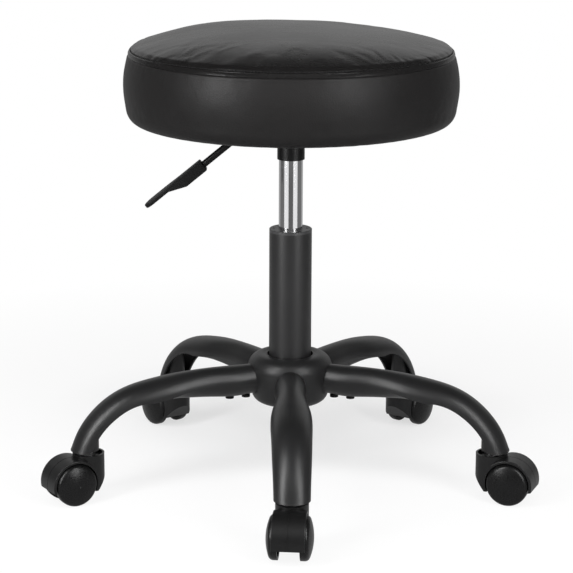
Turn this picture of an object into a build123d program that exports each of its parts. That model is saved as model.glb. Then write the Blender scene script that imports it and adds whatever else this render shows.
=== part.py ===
from build123d import *
from math import asin, cos, degrees, radians, sin, tan

# Adjustable swivel stool: a round padded seat on a gas lift, on five legs with twin-wheel casters.
# Millimetres, +Z up. The origin is on the floor, on the column's axis. The front leg points along
# -Y and the lift lever along -X. The seat is drawn at the height where it stands at rest.

# Clearances
RUNNING_CLEARANCE = 0.05  # radial, round a shaft that turns or slides
BODY_GAP = 0.3  # between faces that pass each other
SOFT_GAP = 0.3  # round the foam
SPIGOT_CLEARANCE = 0.4  # between a hub spigot and the leg's hollow
SCREW_CLEARANCE = 0.3  # radial, where a screw passes through a wall

# Casters
WHEEL_RADIUS = 25.0
WHEEL_INNER_FACE = 12.4  # from the caster's middle plane
WHEEL_TREAD_WIDTH = 4.8
WHEEL_DOME_DEPTH = 9.0
WHEEL_RIM_INSET = 3.7
WHEEL_RIM_DEPTH = 5.2
WHEEL_RIM_WALL = 3.5
WHEEL_FACE_WALL = 4.0
WHEEL_HUB_RADIUS = 7.0
AXLE_RADIUS = 3.0
TRAIL = 24.0  # from the stem's axis to the axle
CASTER_TURNS = (-6.0, -4.0, 0.0, 0.0, 13.0)  # from pointing straight outwards, at rest
HOOD_WIDTH = 37.0
HOOD_WEB_WIDTH = 18.0
HOOD_SKIRT_HEIGHT = 14.0
HOOD_TIP_HEIGHT = 19.0
HOOD_HEEL_RISE = 17.0
HOOD_HEEL_RUN = 15.0
HOOD_EDGE_RADIUS = 1.0
HOOD_SEAM_WIDTH = 0.7
HOOD_SEAM_DEPTH = 0.4
FENDER_GAP = 1.2
FENDER_WALL = 3.0
CUP_LIP = 2.4  # rim of the neck above the top of the fender
CUP_DEPTH = 4.0
CUP_WALL = 2.2
STEM_RADIUS = 5.5
STEM_BORE_DEPTH = 20.0
STEM_INSERT = 22.0
STEM_COLLAR_RADIUS = 8.5
STEM_END_GAP = 0.5
SLEEVE_WALL = 2.0
SLEEVE_LENGTH = 24.0
RING_HEIGHT = 1.5
RING_DEPTH = 0.9
RING_OPENING = 2.0
RING_POSITION = 15.0  # above the leg's foot

# Legs
LEG_COUNT = 5
FRONT_LEG_ANGLE = -90.0
STEM_CIRCLE_RADIUS = 247.0
CASTER_GAP = 3.3  # between the caster's rim and the leg's foot
LEG_WALL = 2.5
LEG_TIP_OVERHANG = 23.0  # from the stem's axis out to the ridge at the foot
LEG_TIP_DROP = 20.3
LEG_TIP_EXCESS = 6.0  # drawn below the foot and cut off level
LEG_BEND_RADIUS = 109.0
LEG_BEND_ANGLE = 49.0
LEG_SAG_RADIUS = 478.0
LEG_SAG_ANGLE = 12.3
LEG_ROOT_WIDTH = 37.0
LEG_SHOULDER_WIDTH = 36.0
LEG_WAIST_WIDTH = 35.2
LEG_FLARE_WIDTH = 39.0
LEG_NECK_WIDTH = 44.0
LEG_BROAD_WIDTH = 46.8
LEG_BEND_WIDTH = 44.5
LEG_SHIN_WIDTH = 41.5
LEG_TIP_WIDTH = 38.0
LEG_ARCH_HEIGHT = 17.0
LEG_ROOT_SIDE = 2.0
LEG_ROOT_KEEL = 17.0
LEG_WAIST_KEEL = 15.0
LEG_FLARE_KEEL = 12.5
LEG_NECK_KEEL = 7.8
LEG_NECK_SIDE = 3.5
LEG_BROAD_SIDE = 5.0
LEG_SHIN_SIDE = 9.0
LEG_OUTER_KEEL = 3.2
LEG_BOSS_RADIUS = 12.5
LEG_WAIST_PLACE = 0.20  # share of the sag where the leg is narrowest
LEG_FLARE_PLACE = 0.40  # share of the sag where the root's bore ends
LEG_NECK_PLACE = 0.58  # share of the sag between bore and channel
LEG_BROAD_PLACE = 0.76  # share of the sag where the underside opens
LEG_OPEN_DROP = 16.0  # of the channel's cut below the leg
LEG_EDGE_START = 22.5  # depth of the leg's lower edge below its ridge, where the underside opens
LEG_EDGE_TURN = 19.6  # the same where the bend begins
LEG_EDGE_DEPTH = 18.0  # the same along the bend and the tip
LEG_CUT_OVERRUN = 2.0

# Hub
HUB_RADIUS = 50.0
HUB_FOOT_RADIUS = 45.0
HUB_FLOOR_RADIUS = 38.0
HUB_FOOT_HEIGHT = 8.0
HUB_DOME_INSET = 20.5
HUB_DOME_HEIGHT = 15.5
HUB_SHOULDER_DROP = 6.0  # from the leg's ridge down to the hub's widest level
HUB_DEPTH = 47.0  # from the leg's ridge down to the hub's floor
HUB_MOUTH_DEPTH = 6.0
HUB_MOUTH_GAP = 2.2
SPIGOT_LENGTH = 40.0
SCREW_RADIUS = 3.0
SCREW_HEAD_RADIUS = 5.0
SCREW_HEAD_HEIGHT = 3.0
SCREW_LENGTH = 16.0
SCREW_OFFSETS = (5.0, 25.0)  # outward from the hub's widest radius

# Gas lift
COLUMN_RADIUS = 25.0
COLUMN_WALL = 2.6
COLUMN_TAPER = 1.2  # loss of radius from the hub's mouth to the foot
COLUMN_RISE = 152.0  # above the top of the hub
COLUMN_FOOT_OVERHANG = 2.0
COLUMN_END_THICKNESS = 4.0
BUSH_LENGTH = 66.0
BUSH_FLANGE = 3.5
BUSH_EDGE = 0.6
BUSH_NOTCH_COUNT = 6
BUSH_NOTCH_WIDTH = 3.0
BUSH_NOTCH_DEPTH = 1.2
CYLINDER_RADIUS = 14.0
CYLINDER_WALL = 3.0
CYLINDER_INSERT = 103.6  # length inside the column at rest
CYLINDER_EXPOSED = 82.4
CYLINDER_HEAD = 20.0  # solid top round the valve
TAPER_LENGTH = 26.0
TAPER_REDUCTION = 0.7
GUIDE_LENGTH = 12.0
PIN_RADIUS = 3.5
PIN_LENGTH = 28.0
PIN_PROTRUSION = 5.8
PIN_EDGE = 1.2
ROD_RADIUS = 5.0
ROD_TAIL_RADIUS = 4.0
ROD_TIP_RADIUS = 3.5
ROD_TAIL_OVERHANG = 6.0
ROD_FLANGE_RADIUS = 8.0
ROD_FLANGE_HEIGHT = 3.0
ROD_LENGTH = 165.0  # from the flange up to the piston
PISTON_HEIGHT = 10.0
PISTON_NUT_RADIUS = 6.0
PISTON_NUT_HEIGHT = 3.0
RACE_THICKNESS = 2.0
RACE_RADIUS = 13.0
BALL_RADIUS = 1.95
BALL_CIRCLE_RADIUS = 9.0
BALL_COUNT = 12
BALL_CLEARANCE = 0.1
BUMP_STOP_HEIGHT = 10.0
BUMP_STOP_RADIUS = 13.0
CLIP_THICKNESS = 1.5
CLIP_RADIUS = 7.0
CLIP_DEPTH = 1.0
CLIP_OPENING = 4.0

# Seat mechanism
SOCKET_WALL = 2.0
SOCKET_LENGTH = 25.0
HOUSING_DROP = 19.0  # from the socket's lower end up to the housing's floor
HOUSING_WIDTH = 40.0
HOUSING_WALL = 2.5
HOUSING_FRONT = 46.0  # reach of the housing on the lever's side
HOUSING_BACK = 34.0
PLATE_SIZE = 150.0
PLATE_THICKNESS = 2.5
PLATE_CORNER_RADIUS = 15.0
BOLT_SPACING = 115.0
BOLT_RADIUS = 3.0
BOLT_HEAD_RADIUS = 6.5
BOLT_HEAD_HEIGHT = 4.0
LEVER_ROD_RADIUS = 4.0
LEVER_TONGUE_THICKNESS = 3.6
LEVER_TONGUE_WIDTH = 10.0
LEVER_TONGUE_LENGTH = 24.0
LEVER_TONGUE_END = 7.0  # past the column's axis
LEVER_PIN_GAP = 0.4
LEVER_HEADROOM = 4.0
LEVER_PIVOT_REACH = 38.0
LEVER_PIVOT_RADIUS = 2.0
LEVER_PIVOT_HEAD_RADIUS = 4.0
LEVER_PIVOT_HEAD_HEIGHT = 1.8
LEVER_BEND_REACH = 51.8
LEVER_BEND_RADIUS = 14.0
LEVER_DROP_ANGLE = 39.5
LEVER_ROD_DROP = 64.4  # from the bend's corner down to the paddle
PADDLE_LENGTH = 84.0
PADDLE_SOCKET_LENGTH = 31.0
PADDLE_SOCKET_SIZE = 14.0
PADDLE_STEP_LENGTH = 20.0
PADDLE_BLADE_THICKNESS = 5.0
PADDLE_BLADE_WIDTH = 22.0
PADDLE_BORE_DEPTH = 26.0
PADDLE_EDGE_RADIUS = 1.4

# Seat cushion
SEAT_RADIUS = 193.3
SEAM_INSET = 5.7  # of the seam from the widest radius
BAND_HEIGHT = 76.8  # from the underside up to the seam
BAND_BULGE_HEIGHT = 42.5  # of the widest level above the underside
BAND_HEEL_HEIGHT = 15.5
BAND_HEEL_INSET = 3.5
UNDERSIDE_INSET = 23.6
LIP_WIDTH = 30.0
CROWN_HEIGHT = 30.7  # above the seam
CROWN_RADIUS = 1100.0
CROWN_FLAT_INSET = 88.0
CROWN_EDGE_INSET = 14.3
CROWN_EDGE_HEIGHT = 10.7  # above the seam
COVER_THICKNESS = 1.5
BOARD_THICKNESS = 12.0
BOARD_INSET = 28.3
DUST_COVER_THICKNESS = 1.0
DUST_COVER_INSET = 35.0
NUT_BARREL_RADIUS = 4.2
NUT_FLANGE_RADIUS = 9.5
NUT_FLANGE_THICKNESS = 1.2
STAPLE_COUNT = 16
STAPLE_WIDTH = 10.0
STAPLE_WIRE = 1.0
STAPLE_LENGTH = 8.0
STAPLE_INSET = 43.0

# Caster and leg levels
axle_height = WHEEL_RADIUS
well_radius = WHEEL_RADIUS + FENDER_GAP
fender_radius = well_radius + FENDER_WALL
neck_radius = HOOD_WIDTH / 2
cup_rim_height = axle_height + fender_radius + CUP_LIP
cup_floor_height = cup_rim_height - CUP_DEPTH
leg_foot_height = cup_rim_height + CASTER_GAP
sleeve_radius = STEM_RADIUS + SLEEVE_WALL
ring_height = leg_foot_height + RING_POSITION
ring_radius = STEM_RADIUS - RING_DEPTH

# Leg ridge, worked out from the tip inwards
tip_angle = LEG_SAG_ANGLE + LEG_BEND_ANGLE
bend_run = LEG_BEND_RADIUS * (sin(radians(tip_angle)) - sin(radians(LEG_SAG_ANGLE)))
bend_drop = LEG_BEND_RADIUS * (cos(radians(LEG_SAG_ANGLE)) - cos(radians(tip_angle)))
sag_run = LEG_SAG_RADIUS * sin(radians(LEG_SAG_ANGLE))
sag_drop = LEG_SAG_RADIUS * (1 - cos(radians(LEG_SAG_ANGLE)))
tip_run = LEG_TIP_DROP / tan(radians(tip_angle))
ridge_height = leg_foot_height + LEG_TIP_DROP + bend_drop + sag_drop
straight_end = STEM_CIRCLE_RADIUS + LEG_TIP_OVERHANG - tip_run - bend_run - sag_run
leg_start = HUB_FLOOR_RADIUS
leg_floor_height = ridge_height - LEG_ARCH_HEIGHT - LEG_ROOT_SIDE - LEG_ROOT_KEEL

# Hub and column levels
hub_shoulder_height = ridge_height - HUB_SHOULDER_DROP
hub_top = hub_shoulder_height + HUB_DOME_HEIGHT
hub_floor = ridge_height - HUB_DEPTH
hub_mouth = hub_top - HUB_MOUTH_DEPTH
column_foot = hub_floor - COLUMN_FOOT_OVERHANG
column_top = hub_top + COLUMN_RISE
column_bore_radius = COLUMN_RADIUS - COLUMN_WALL
column_floor = column_foot + COLUMN_END_THICKNESS
upper_race_height = column_floor + RACE_THICKNESS + 2 * BALL_RADIUS + BALL_CLEARANCE
rod_flange_height = upper_race_height + RACE_THICKNESS
rod_shoulder_height = rod_flange_height + ROD_FLANGE_HEIGHT
piston_height = rod_shoulder_height + ROD_LENGTH
rod_foot = column_foot - ROD_TAIL_OVERHANG
clip_height = column_foot - BODY_GAP - CLIP_THICKNESS
cylinder_foot = column_top - CYLINDER_INSERT
cylinder_bore_radius = CYLINDER_RADIUS - CYLINDER_WALL
socket_foot = column_top + CYLINDER_EXPOSED
cylinder_top = socket_foot + TAPER_LENGTH
pin_top = cylinder_top + PIN_PROTRUSION

# Seat levels
housing_floor = socket_foot + HOUSING_DROP
lever_height = pin_top + LEVER_PIN_GAP + LEVER_TONGUE_THICKNESS / 2
plate_floor = lever_height + LEVER_ROD_RADIUS + LEVER_HEADROOM
plate_top = plate_floor + PLATE_THICKNESS
underside = plate_top + DUST_COVER_THICKNESS
board_floor = underside + COVER_THICKNESS
board_top = board_floor + BOARD_THICKNESS
board_radius = SEAT_RADIUS - BOARD_INSET
seam_height = underside + BAND_HEIGHT
seam_radius = SEAT_RADIUS - SEAM_INSET
lip_radius = SEAT_RADIUS - UNDERSIDE_INSET - LIP_WIDTH
dust_cover_radius = SEAT_RADIUS - DUST_COVER_INSET

leg_angles = [FRONT_LEG_ANGLE + number * 360 / LEG_COUNT for number in range(LEG_COUNT)]


# Wheel: a domed half wheel, hollow on its inner side, with a blind bore for the axle
axle_reach = WHEEL_INNER_FACE + WHEEL_TREAD_WIDTH + WHEEL_DOME_DEPTH - WHEEL_FACE_WALL
wheel_bore_radius = AXLE_RADIUS + RUNNING_CLEARANCE
wheel_plane = Plane(origin=(TRAIL, 0, axle_height), x_dir=(0, 0, 1), z_dir=(1, 0, 0))
axle_axis = Axis((TRAIL, 0, axle_height), (0, 1, 0))

with BuildPart() as wheel_blank:
    with BuildSketch(wheel_plane):
        with BuildLine():
            dome_start = WHEEL_INNER_FACE + WHEEL_TREAD_WIDTH
            hub_face = HOOD_WEB_WIDTH / 2 + BODY_GAP
            rim_corner = (WHEEL_RADIUS - WHEEL_RIM_INSET, dome_start + WHEEL_RIM_DEPTH)
            face = TangentArc((0, dome_start + WHEEL_DOME_DEPTH), rim_corner, tangent=(1, 0))
            rim = TangentArc(face @ 1, (WHEEL_RADIUS, dome_start), tangent=face % 1)
            Polyline(
                face @ 0,
                (0, axle_reach + BODY_GAP),
                (wheel_bore_radius, axle_reach + BODY_GAP),
                (wheel_bore_radius, hub_face),
                (WHEEL_HUB_RADIUS, hub_face),
                (WHEEL_HUB_RADIUS, dome_start),
                (WHEEL_RADIUS - WHEEL_RIM_WALL, dome_start),
                (WHEEL_RADIUS - WHEEL_RIM_WALL, WHEEL_INNER_FACE),
                (WHEEL_RADIUS, WHEEL_INNER_FACE),
                rim @ 1,
            )
        make_face()
    revolve(axis=axle_axis)

# Hood: a fender over both wheels, grown together with a round neck that turns on the stem
with BuildPart() as hood_blank:
    with BuildSketch(Plane.XZ):
        with Locations((TRAIL, axle_height)):
            Circle(fender_radius)
    extrude(amount=HOOD_WIDTH / 2, both=True)
    fillet(hood_blank.edges().filter_by(GeomType.CIRCLE), HOOD_EDGE_RADIUS)
    with BuildSketch(Plane.XZ):
        with Locations((TRAIL, axle_height)):
            Circle(fender_radius + HOOD_EDGE_RADIUS)
            Circle(fender_radius - HOOD_SEAM_DEPTH, mode=Mode.SUBTRACT)
    extrude(amount=HOOD_SEAM_WIDTH / 2, both=True, mode=Mode.SUBTRACT)
    with BuildSketch(Plane.XY.offset(HOOD_SKIRT_HEIGHT)):
        Circle(neck_radius)
    extrude(amount=cup_rim_height - HOOD_SKIRT_HEIGHT)
    for side in (-1, 1):
        with BuildSketch(Plane.XZ.offset(side * HOOD_WEB_WIDTH / 2)):
            with Locations((TRAIL, axle_height)):
                Circle(well_radius)
        extrude(amount=side * HOOD_WIDTH, mode=Mode.SUBTRACT)
    with BuildSketch(Plane.XZ):
        with BuildLine():
            heel_top = (-neck_radius, HOOD_SKIRT_HEIGHT + HOOD_HEEL_RISE)
            heel_end = (HOOD_HEEL_RUN - neck_radius, HOOD_SKIRT_HEIGHT)
            beyond = TRAIL + 2 * fender_radius
            below = axle_height - 2 * fender_radius
            Polyline(
                heel_top,
                heel_end,
                (TRAIL, HOOD_SKIRT_HEIGHT),
                (TRAIL + fender_radius, HOOD_TIP_HEIGHT),
                (beyond, HOOD_TIP_HEIGHT),
                (beyond, below),
                (-beyond, below),
                (-beyond, HOOD_SKIRT_HEIGHT + HOOD_HEEL_RISE),
                close=True,
            )
        make_face()
    extrude(amount=HOOD_WIDTH, both=True, mode=Mode.SUBTRACT)
    with BuildSketch(Plane.XY.offset(cup_floor_height)):
        Circle(neck_radius - CUP_WALL)
    extrude(amount=2 * CUP_DEPTH, mode=Mode.SUBTRACT)
    with BuildSketch(Plane.XY.offset(cup_floor_height)):
        Circle(STEM_RADIUS + RUNNING_CLEARANCE)
    extrude(amount=-STEM_BORE_DEPTH, mode=Mode.SUBTRACT)
    with BuildSketch(Plane.XZ):
        with Locations((TRAIL, axle_height)):
            Circle(AXLE_RADIUS)
    extrude(amount=HOOD_WIDTH, both=True, mode=Mode.SUBTRACT)

# Axle pressed into the hood's web
with BuildPart() as axle_blank:
    with BuildSketch(Plane.XZ):
        with Locations((TRAIL, axle_height)):
            Circle(AXLE_RADIUS)
    extrude(amount=axle_reach, both=True)

# Five casters, trailing outwards, each turned a little and with its own four pieces
for number, (angle, turn) in enumerate(zip(leg_angles, CASTER_TURNS), start=1):
    stem_x = STEM_CIRCLE_RADIUS * cos(radians(angle))
    stem_y = STEM_CIRCLE_RADIUS * sin(radians(angle))
    caster_place = Location((stem_x, stem_y, 0), (0, 0, angle + turn))

    with BuildPart() as caster_hood:
        with Locations(caster_place):
            add(hood_blank.part)
    caster_hood.part.label = f"caster_hood_{number}"
    export_step(caster_hood.part, f"parts/caster_hood_{number}.step")

    with BuildPart() as caster_axle:
        with Locations(caster_place):
            add(axle_blank.part)
    caster_axle.part.label = f"caster_axle_{number}"
    export_step(caster_axle.part, f"parts/caster_axle_{number}.step")

    with BuildPart() as wheel_right:
        with Locations(caster_place):
            add(wheel_blank.part)
    wheel_right.part.label = f"wheel_right_{number}"
    export_step(wheel_right.part, f"parts/wheel_right_{number}.step")

    with BuildPart() as wheel_left:
        with Locations(caster_place):
            add(mirror(wheel_blank.part, about=Plane.XZ, mode=Mode.PRIVATE))
    wheel_left.part.label = f"wheel_left_{number}"
    export_step(wheel_left.part, f"parts/wheel_left_{number}.step")

# Caster stems: pin, collar against the leg's foot, and a groove for the grip ring
with BuildPart() as stem_blank:
    with BuildSketch(Plane.XZ):
        with BuildLine():
            stem_foot = cup_floor_height - STEM_BORE_DEPTH + STEM_END_GAP
            stem_top = leg_foot_height + STEM_INSERT
            Polyline(
                (0, stem_foot),
                (STEM_RADIUS, stem_foot),
                (STEM_RADIUS, cup_floor_height + BODY_GAP),
                (STEM_COLLAR_RADIUS, cup_floor_height + BODY_GAP),
                (STEM_COLLAR_RADIUS, leg_foot_height),
                (STEM_RADIUS, leg_foot_height),
                (STEM_RADIUS, ring_height),
                (ring_radius, ring_height),
                (ring_radius, ring_height + RING_HEIGHT),
                (STEM_RADIUS, ring_height + RING_HEIGHT),
                (STEM_RADIUS, stem_top),
                (0, stem_top),
                close=True,
            )
        make_face()
    revolve(axis=Axis.Z)

with BuildPart() as caster_stems:
    with PolarLocations(STEM_CIRCLE_RADIUS, LEG_COUNT, FRONT_LEG_ANGLE):
        add(stem_blank.part)
caster_stems.part.label = "caster_stems"
export_step(caster_stems.part, "parts/caster_stems.step")

# Split grip rings in the stems' grooves
with BuildPart() as stem_rings:
    with BuildSketch(Plane.XY.offset(ring_height)):
        with PolarLocations(STEM_CIRCLE_RADIUS, LEG_COUNT, FRONT_LEG_ANGLE):
            Circle(STEM_RADIUS)
            Circle(ring_radius, mode=Mode.SUBTRACT)
        with PolarLocations(STEM_CIRCLE_RADIUS + STEM_RADIUS, LEG_COUNT, FRONT_LEG_ANGLE):
            Rectangle(2 * STEM_RADIUS, RING_OPENING, mode=Mode.SUBTRACT)
    extrude(amount=RING_HEIGHT)
stem_rings.part.label = "stem_rings"
export_step(stem_rings.part, "parts/stem_rings.step")

# Sleeves in the leg ends that take the stems
with BuildPart() as stem_sleeves:
    with BuildSketch(Plane.XY.offset(leg_foot_height)):
        with PolarLocations(STEM_CIRCLE_RADIUS, LEG_COUNT, FRONT_LEG_ANGLE):
            Circle(sleeve_radius)
            Circle(STEM_RADIUS, mode=Mode.SUBTRACT)
    extrude(amount=SLEEVE_LENGTH)
stem_sleeves.part.label = "stem_sleeves"
export_step(stem_sleeves.part, "parts/stem_sleeves.step")

# Solid shape of the hub, which also trims the leg ends
with BuildPart() as hub_form:
    with BuildSketch(Plane.XZ):
        with BuildLine():
            shoulder = (HUB_RADIUS, hub_shoulder_height)
            foot = (HUB_FOOT_RADIUS, hub_floor + HUB_FOOT_HEIGHT)
            crown_end = (HUB_RADIUS - HUB_DOME_INSET, hub_top)
            dome = TangentArc(shoulder, crown_end, tangent=(0, 1))
            flank = TangentArc(shoulder, foot, tangent=(0, -1))
            heel = TangentArc(foot, (HUB_FLOOR_RADIUS, hub_floor), tangent=flank % 1)
            Polyline(heel @ 1, (0, hub_floor), (0, hub_top), dome @ 1)
        make_face()
    revolve(axis=Axis.Z)

# Ridge line of a leg, along +X: level at the hub, then a slight sag, a bend and a straight tip
with BuildLine(Plane.XZ) as ridge:
    level = Line((leg_start, ridge_height), (straight_end, ridge_height))
    sag = JernArc(level @ 1, level % 1, LEG_SAG_RADIUS, -LEG_SAG_ANGLE)
    bend = JernArc(sag @ 1, sag % 1, LEG_BEND_RADIUS, -LEG_BEND_ANGLE)
    tip = PolarLine(bend @ 1, (LEG_TIP_DROP + LEG_TIP_EXCESS) / sin(radians(tip_angle)), -tip_angle)

# Each station: stretch of the ridge, place on it, width, side and keel of the section there
mid_bend_width = (LEG_BROAD_WIDTH + LEG_BEND_WIDTH) / 2
mid_shin_width = (LEG_BEND_WIDTH + LEG_SHIN_WIDTH) / 2
mid_bend_side = (LEG_BROAD_SIDE + LEG_SHIN_SIDE) / 2
root_stations = (
    (level, 0.0, LEG_ROOT_WIDTH, LEG_ROOT_SIDE, LEG_ROOT_KEEL),
    (level, 0.5, (LEG_ROOT_WIDTH + LEG_SHOULDER_WIDTH) / 2, LEG_ROOT_SIDE, LEG_ROOT_KEEL),
    (level, 1.0, LEG_SHOULDER_WIDTH, LEG_ROOT_SIDE, LEG_ROOT_KEEL),
    (sag, LEG_WAIST_PLACE, LEG_WAIST_WIDTH, LEG_ROOT_SIDE, LEG_WAIST_KEEL),
    (sag, LEG_FLARE_PLACE, LEG_FLARE_WIDTH, LEG_ROOT_SIDE, LEG_FLARE_KEEL),
)
neck_stations = ((sag, LEG_NECK_PLACE, LEG_NECK_WIDTH, LEG_NECK_SIDE, LEG_NECK_KEEL),)
channel_stations = (
    (sag, LEG_BROAD_PLACE, LEG_BROAD_WIDTH, LEG_BROAD_SIDE, LEG_OUTER_KEEL),
    (sag, 1.0, LEG_BROAD_WIDTH, LEG_BROAD_SIDE, LEG_OUTER_KEEL),
    (bend, 0.25, mid_bend_width, mid_bend_side, LEG_OUTER_KEEL),
    (bend, 0.5, LEG_BEND_WIDTH, LEG_SHIN_SIDE, LEG_OUTER_KEEL),
    (bend, 0.75, mid_shin_width, LEG_SHIN_SIDE, LEG_OUTER_KEEL),
    (bend, 1.0, LEG_SHIN_WIDTH, LEG_SHIN_SIDE, LEG_OUTER_KEEL),
    (tip, 1.0, LEG_TIP_WIDTH, LEG_SHIN_SIDE, LEG_OUTER_KEEL),
)
edge_stations = (
    (sag, (LEG_BROAD_PLACE + 1) / 2, LEG_EDGE_START),
    (sag, 1.0, LEG_EDGE_TURN),
    (bend, 0.25, LEG_EDGE_DEPTH),
    (bend, 0.5, LEG_EDGE_DEPTH),
    (bend, 0.75, LEG_EDGE_DEPTH),
    (bend, 1.0, LEG_EDGE_DEPTH),
    (tip, 1.0, LEG_EDGE_DEPTH),
)


def leg_sections(stations, inset=0.0, drop=0.0, overrun=0.0):
    """Sections across the leg, hung below its ridge and drawn in by the inset."""
    shifts = [-overrun] + [0.0] * (len(stations) - 2) + [overrun]
    sections = []
    for (run, share, width, side, keel), shift in zip(stations, shifts):
        half = width / 2 - inset
        floor = -LEG_ARCH_HEIGHT - side - drop
        plane = Plane(origin=run @ share, x_dir=(0, 1, 0), z_dir=run % share).offset(shift)
        with BuildSketch(plane) as section:
            with BuildLine():
                arch = EllipticalCenterArc(
                    (0, -LEG_ARCH_HEIGHT), half, LEG_ARCH_HEIGHT - inset, arc_size=180
                )
                belly = ThreePointArc((-half, floor), (0, floor - keel + inset), (half, floor))
                Line(arch @ 1, belly @ 0)
                Line(belly @ 1, arch @ 0)
            make_face()
        sections.append(section.sketch)
    return sections


# Bore in the leg's root, for the hub's spigot
with BuildPart() as root_bore:
    loft(sections=leg_sections(root_stations, LEG_WALL, overrun=LEG_CUT_OVERRUN))

# Open channel under the bend, with the boss for the caster's stem left standing in it
with BuildPart() as leg_channel:
    loft(sections=leg_sections(channel_stations, LEG_WALL, LEG_OPEN_DROP, LEG_CUT_OVERRUN))
    with BuildSketch(Plane.XY):
        with Locations((STEM_CIRCLE_RADIUS, 0)):
            Circle(LEG_BOSS_RADIUS)
    extrude(amount=ridge_height, mode=Mode.SUBTRACT)

# Cut along the lower edge of the bend and the tip, clear of the same boss
with BuildPart() as leg_trim:
    with BuildSketch(Plane.XZ):
        with BuildLine():
            edge_points = []
            for run, share, depth in edge_stations:
                heading = run % share
                point = run @ share + depth * Vector(heading.Z, 0, -heading.X)
                edge_points.append((point.X, point.Z))
            lower_edge = Spline(*edge_points)
            Polyline(lower_edge @ 1, (edge_points[-1][0], 0), (edge_points[0][0], 0), lower_edge @ 0)
        make_face()
    extrude(amount=LEG_BROAD_WIDTH, both=True)
    with BuildSketch(Plane.XY):
        with Locations((STEM_CIRCLE_RADIUS, 0)):
            Circle(LEG_BOSS_RADIUS)
    extrude(amount=ridge_height, mode=Mode.SUBTRACT)

# Leg: pressed steel shell, fitted to the hub, cut off level at the foot
with BuildPart() as leg_blank:
    loft(sections=leg_sections(root_stations + neck_stations + channel_stations))
    add(hub_form.part, mode=Mode.SUBTRACT)
    split(bisect_by=Plane.XY.offset(leg_foot_height), keep=Keep.TOP)
    add(root_bore.part, mode=Mode.SUBTRACT)
    add(leg_channel.part, mode=Mode.SUBTRACT)
    add(leg_trim.part, mode=Mode.SUBTRACT)
    with BuildSketch(Plane.XY.offset(leg_foot_height)):
        with Locations((STEM_CIRCLE_RADIUS, 0)):
            Circle(sleeve_radius)
    extrude(amount=SLEEVE_LENGTH, mode=Mode.SUBTRACT)
    with BuildSketch(Plane.XY.offset(leg_floor_height - LEG_WALL)):
        with Locations(*[(HUB_RADIUS + reach, 0) for reach in SCREW_OFFSETS]):
            Circle(SCREW_RADIUS + SCREW_CLEARANCE)
    extrude(amount=LEG_ROOT_KEEL, mode=Mode.SUBTRACT)
    with BuildSketch(Plane.XY.offset(leg_floor_height - SCREW_HEAD_HEIGHT)):
        with Locations(*[(HUB_RADIUS + reach, 0) for reach in SCREW_OFFSETS]):
            Circle(SCREW_HEAD_RADIUS + SCREW_CLEARANCE)
    extrude(amount=SCREW_HEAD_HEIGHT, mode=Mode.SUBTRACT)

for number, angle in enumerate(leg_angles, start=1):
    with BuildPart() as leg:
        with Locations(Location((0, 0, 0), (0, 0, angle))):
            add(leg_blank.part)
    leg.part.label = f"leg_{number}"
    export_step(leg.part, f"parts/leg_{number}.step")

# Spigot of the hub, which fills the root of the leg's hollow
with BuildPart() as spigot_blank:
    loft(sections=leg_sections(root_stations, LEG_WALL + SPIGOT_CLEARANCE))
    split(bisect_by=Plane.YZ.offset(HUB_RADIUS + SPIGOT_LENGTH), keep=Keep.BOTTOM)
    with BuildSketch(Plane.XY.offset(leg_floor_height)):
        with Locations(*[(HUB_RADIUS + reach, 0) for reach in SCREW_OFFSETS]):
            Circle(SCREW_RADIUS)
    extrude(amount=SCREW_LENGTH, mode=Mode.SUBTRACT)

# Screws from below, through each leg's wall into the spigot
with BuildPart() as leg_screws:
    for reach in SCREW_OFFSETS:
        with BuildSketch(Plane.XY.offset(leg_floor_height)):
            with PolarLocations(HUB_RADIUS + reach, LEG_COUNT, FRONT_LEG_ANGLE):
                Circle(SCREW_RADIUS)
        extrude(amount=SCREW_LENGTH)
        with BuildSketch(Plane.XY.offset(leg_floor_height - SCREW_HEAD_HEIGHT)):
            with PolarLocations(HUB_RADIUS + reach, LEG_COUNT, FRONT_LEG_ANGLE):
                Circle(SCREW_HEAD_RADIUS)
        extrude(amount=SCREW_HEAD_HEIGHT)
leg_screws.part.label = "leg_screws"
export_step(leg_screws.part, "parts/leg_screws.step")

# Outer shape of the column: straight above the hub, tapered inside it
with BuildPart() as column_form:
    with BuildSketch(Plane.XZ):
        with BuildLine():
            tube_top = column_top - BUSH_FLANGE
            Polyline(
                (0, column_foot),
                (COLUMN_RADIUS - COLUMN_TAPER, column_foot),
                (COLUMN_RADIUS, hub_mouth),
                (COLUMN_RADIUS, tube_top),
                (0, tube_top),
                close=True,
            )
        make_face()
    revolve(axis=Axis.Z)

# Hub: domed centre with five spigots, wedged on the column's taper
with BuildPart() as hub:
    add(hub_form.part)
    with PolarLocations(0, LEG_COUNT, FRONT_LEG_ANGLE):
        add(spigot_blank.part)
    with BuildSketch(Plane.XY.offset(hub_mouth)):
        Circle(COLUMN_RADIUS + HUB_MOUTH_GAP)
    extrude(amount=2 * HUB_MOUTH_DEPTH, mode=Mode.SUBTRACT)
    add(column_form.part, mode=Mode.SUBTRACT)
hub.part.label = "hub"
export_step(hub.part, "parts/hub.step")

# Column tube with its closed foot
with BuildPart() as column_tube:
    add(column_form.part)
    with BuildSketch(Plane.XY.offset(column_floor)):
        Circle(column_bore_radius)
    extrude(amount=column_top - column_floor, mode=Mode.SUBTRACT)
    with BuildSketch(Plane.XY.offset(column_foot)):
        Circle(ROD_TAIL_RADIUS + RUNNING_CLEARANCE)
    extrude(amount=COLUMN_END_THICKNESS, mode=Mode.SUBTRACT)
column_tube.part.label = "column_tube"
export_step(column_tube.part, "parts/column_tube.step")

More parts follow.
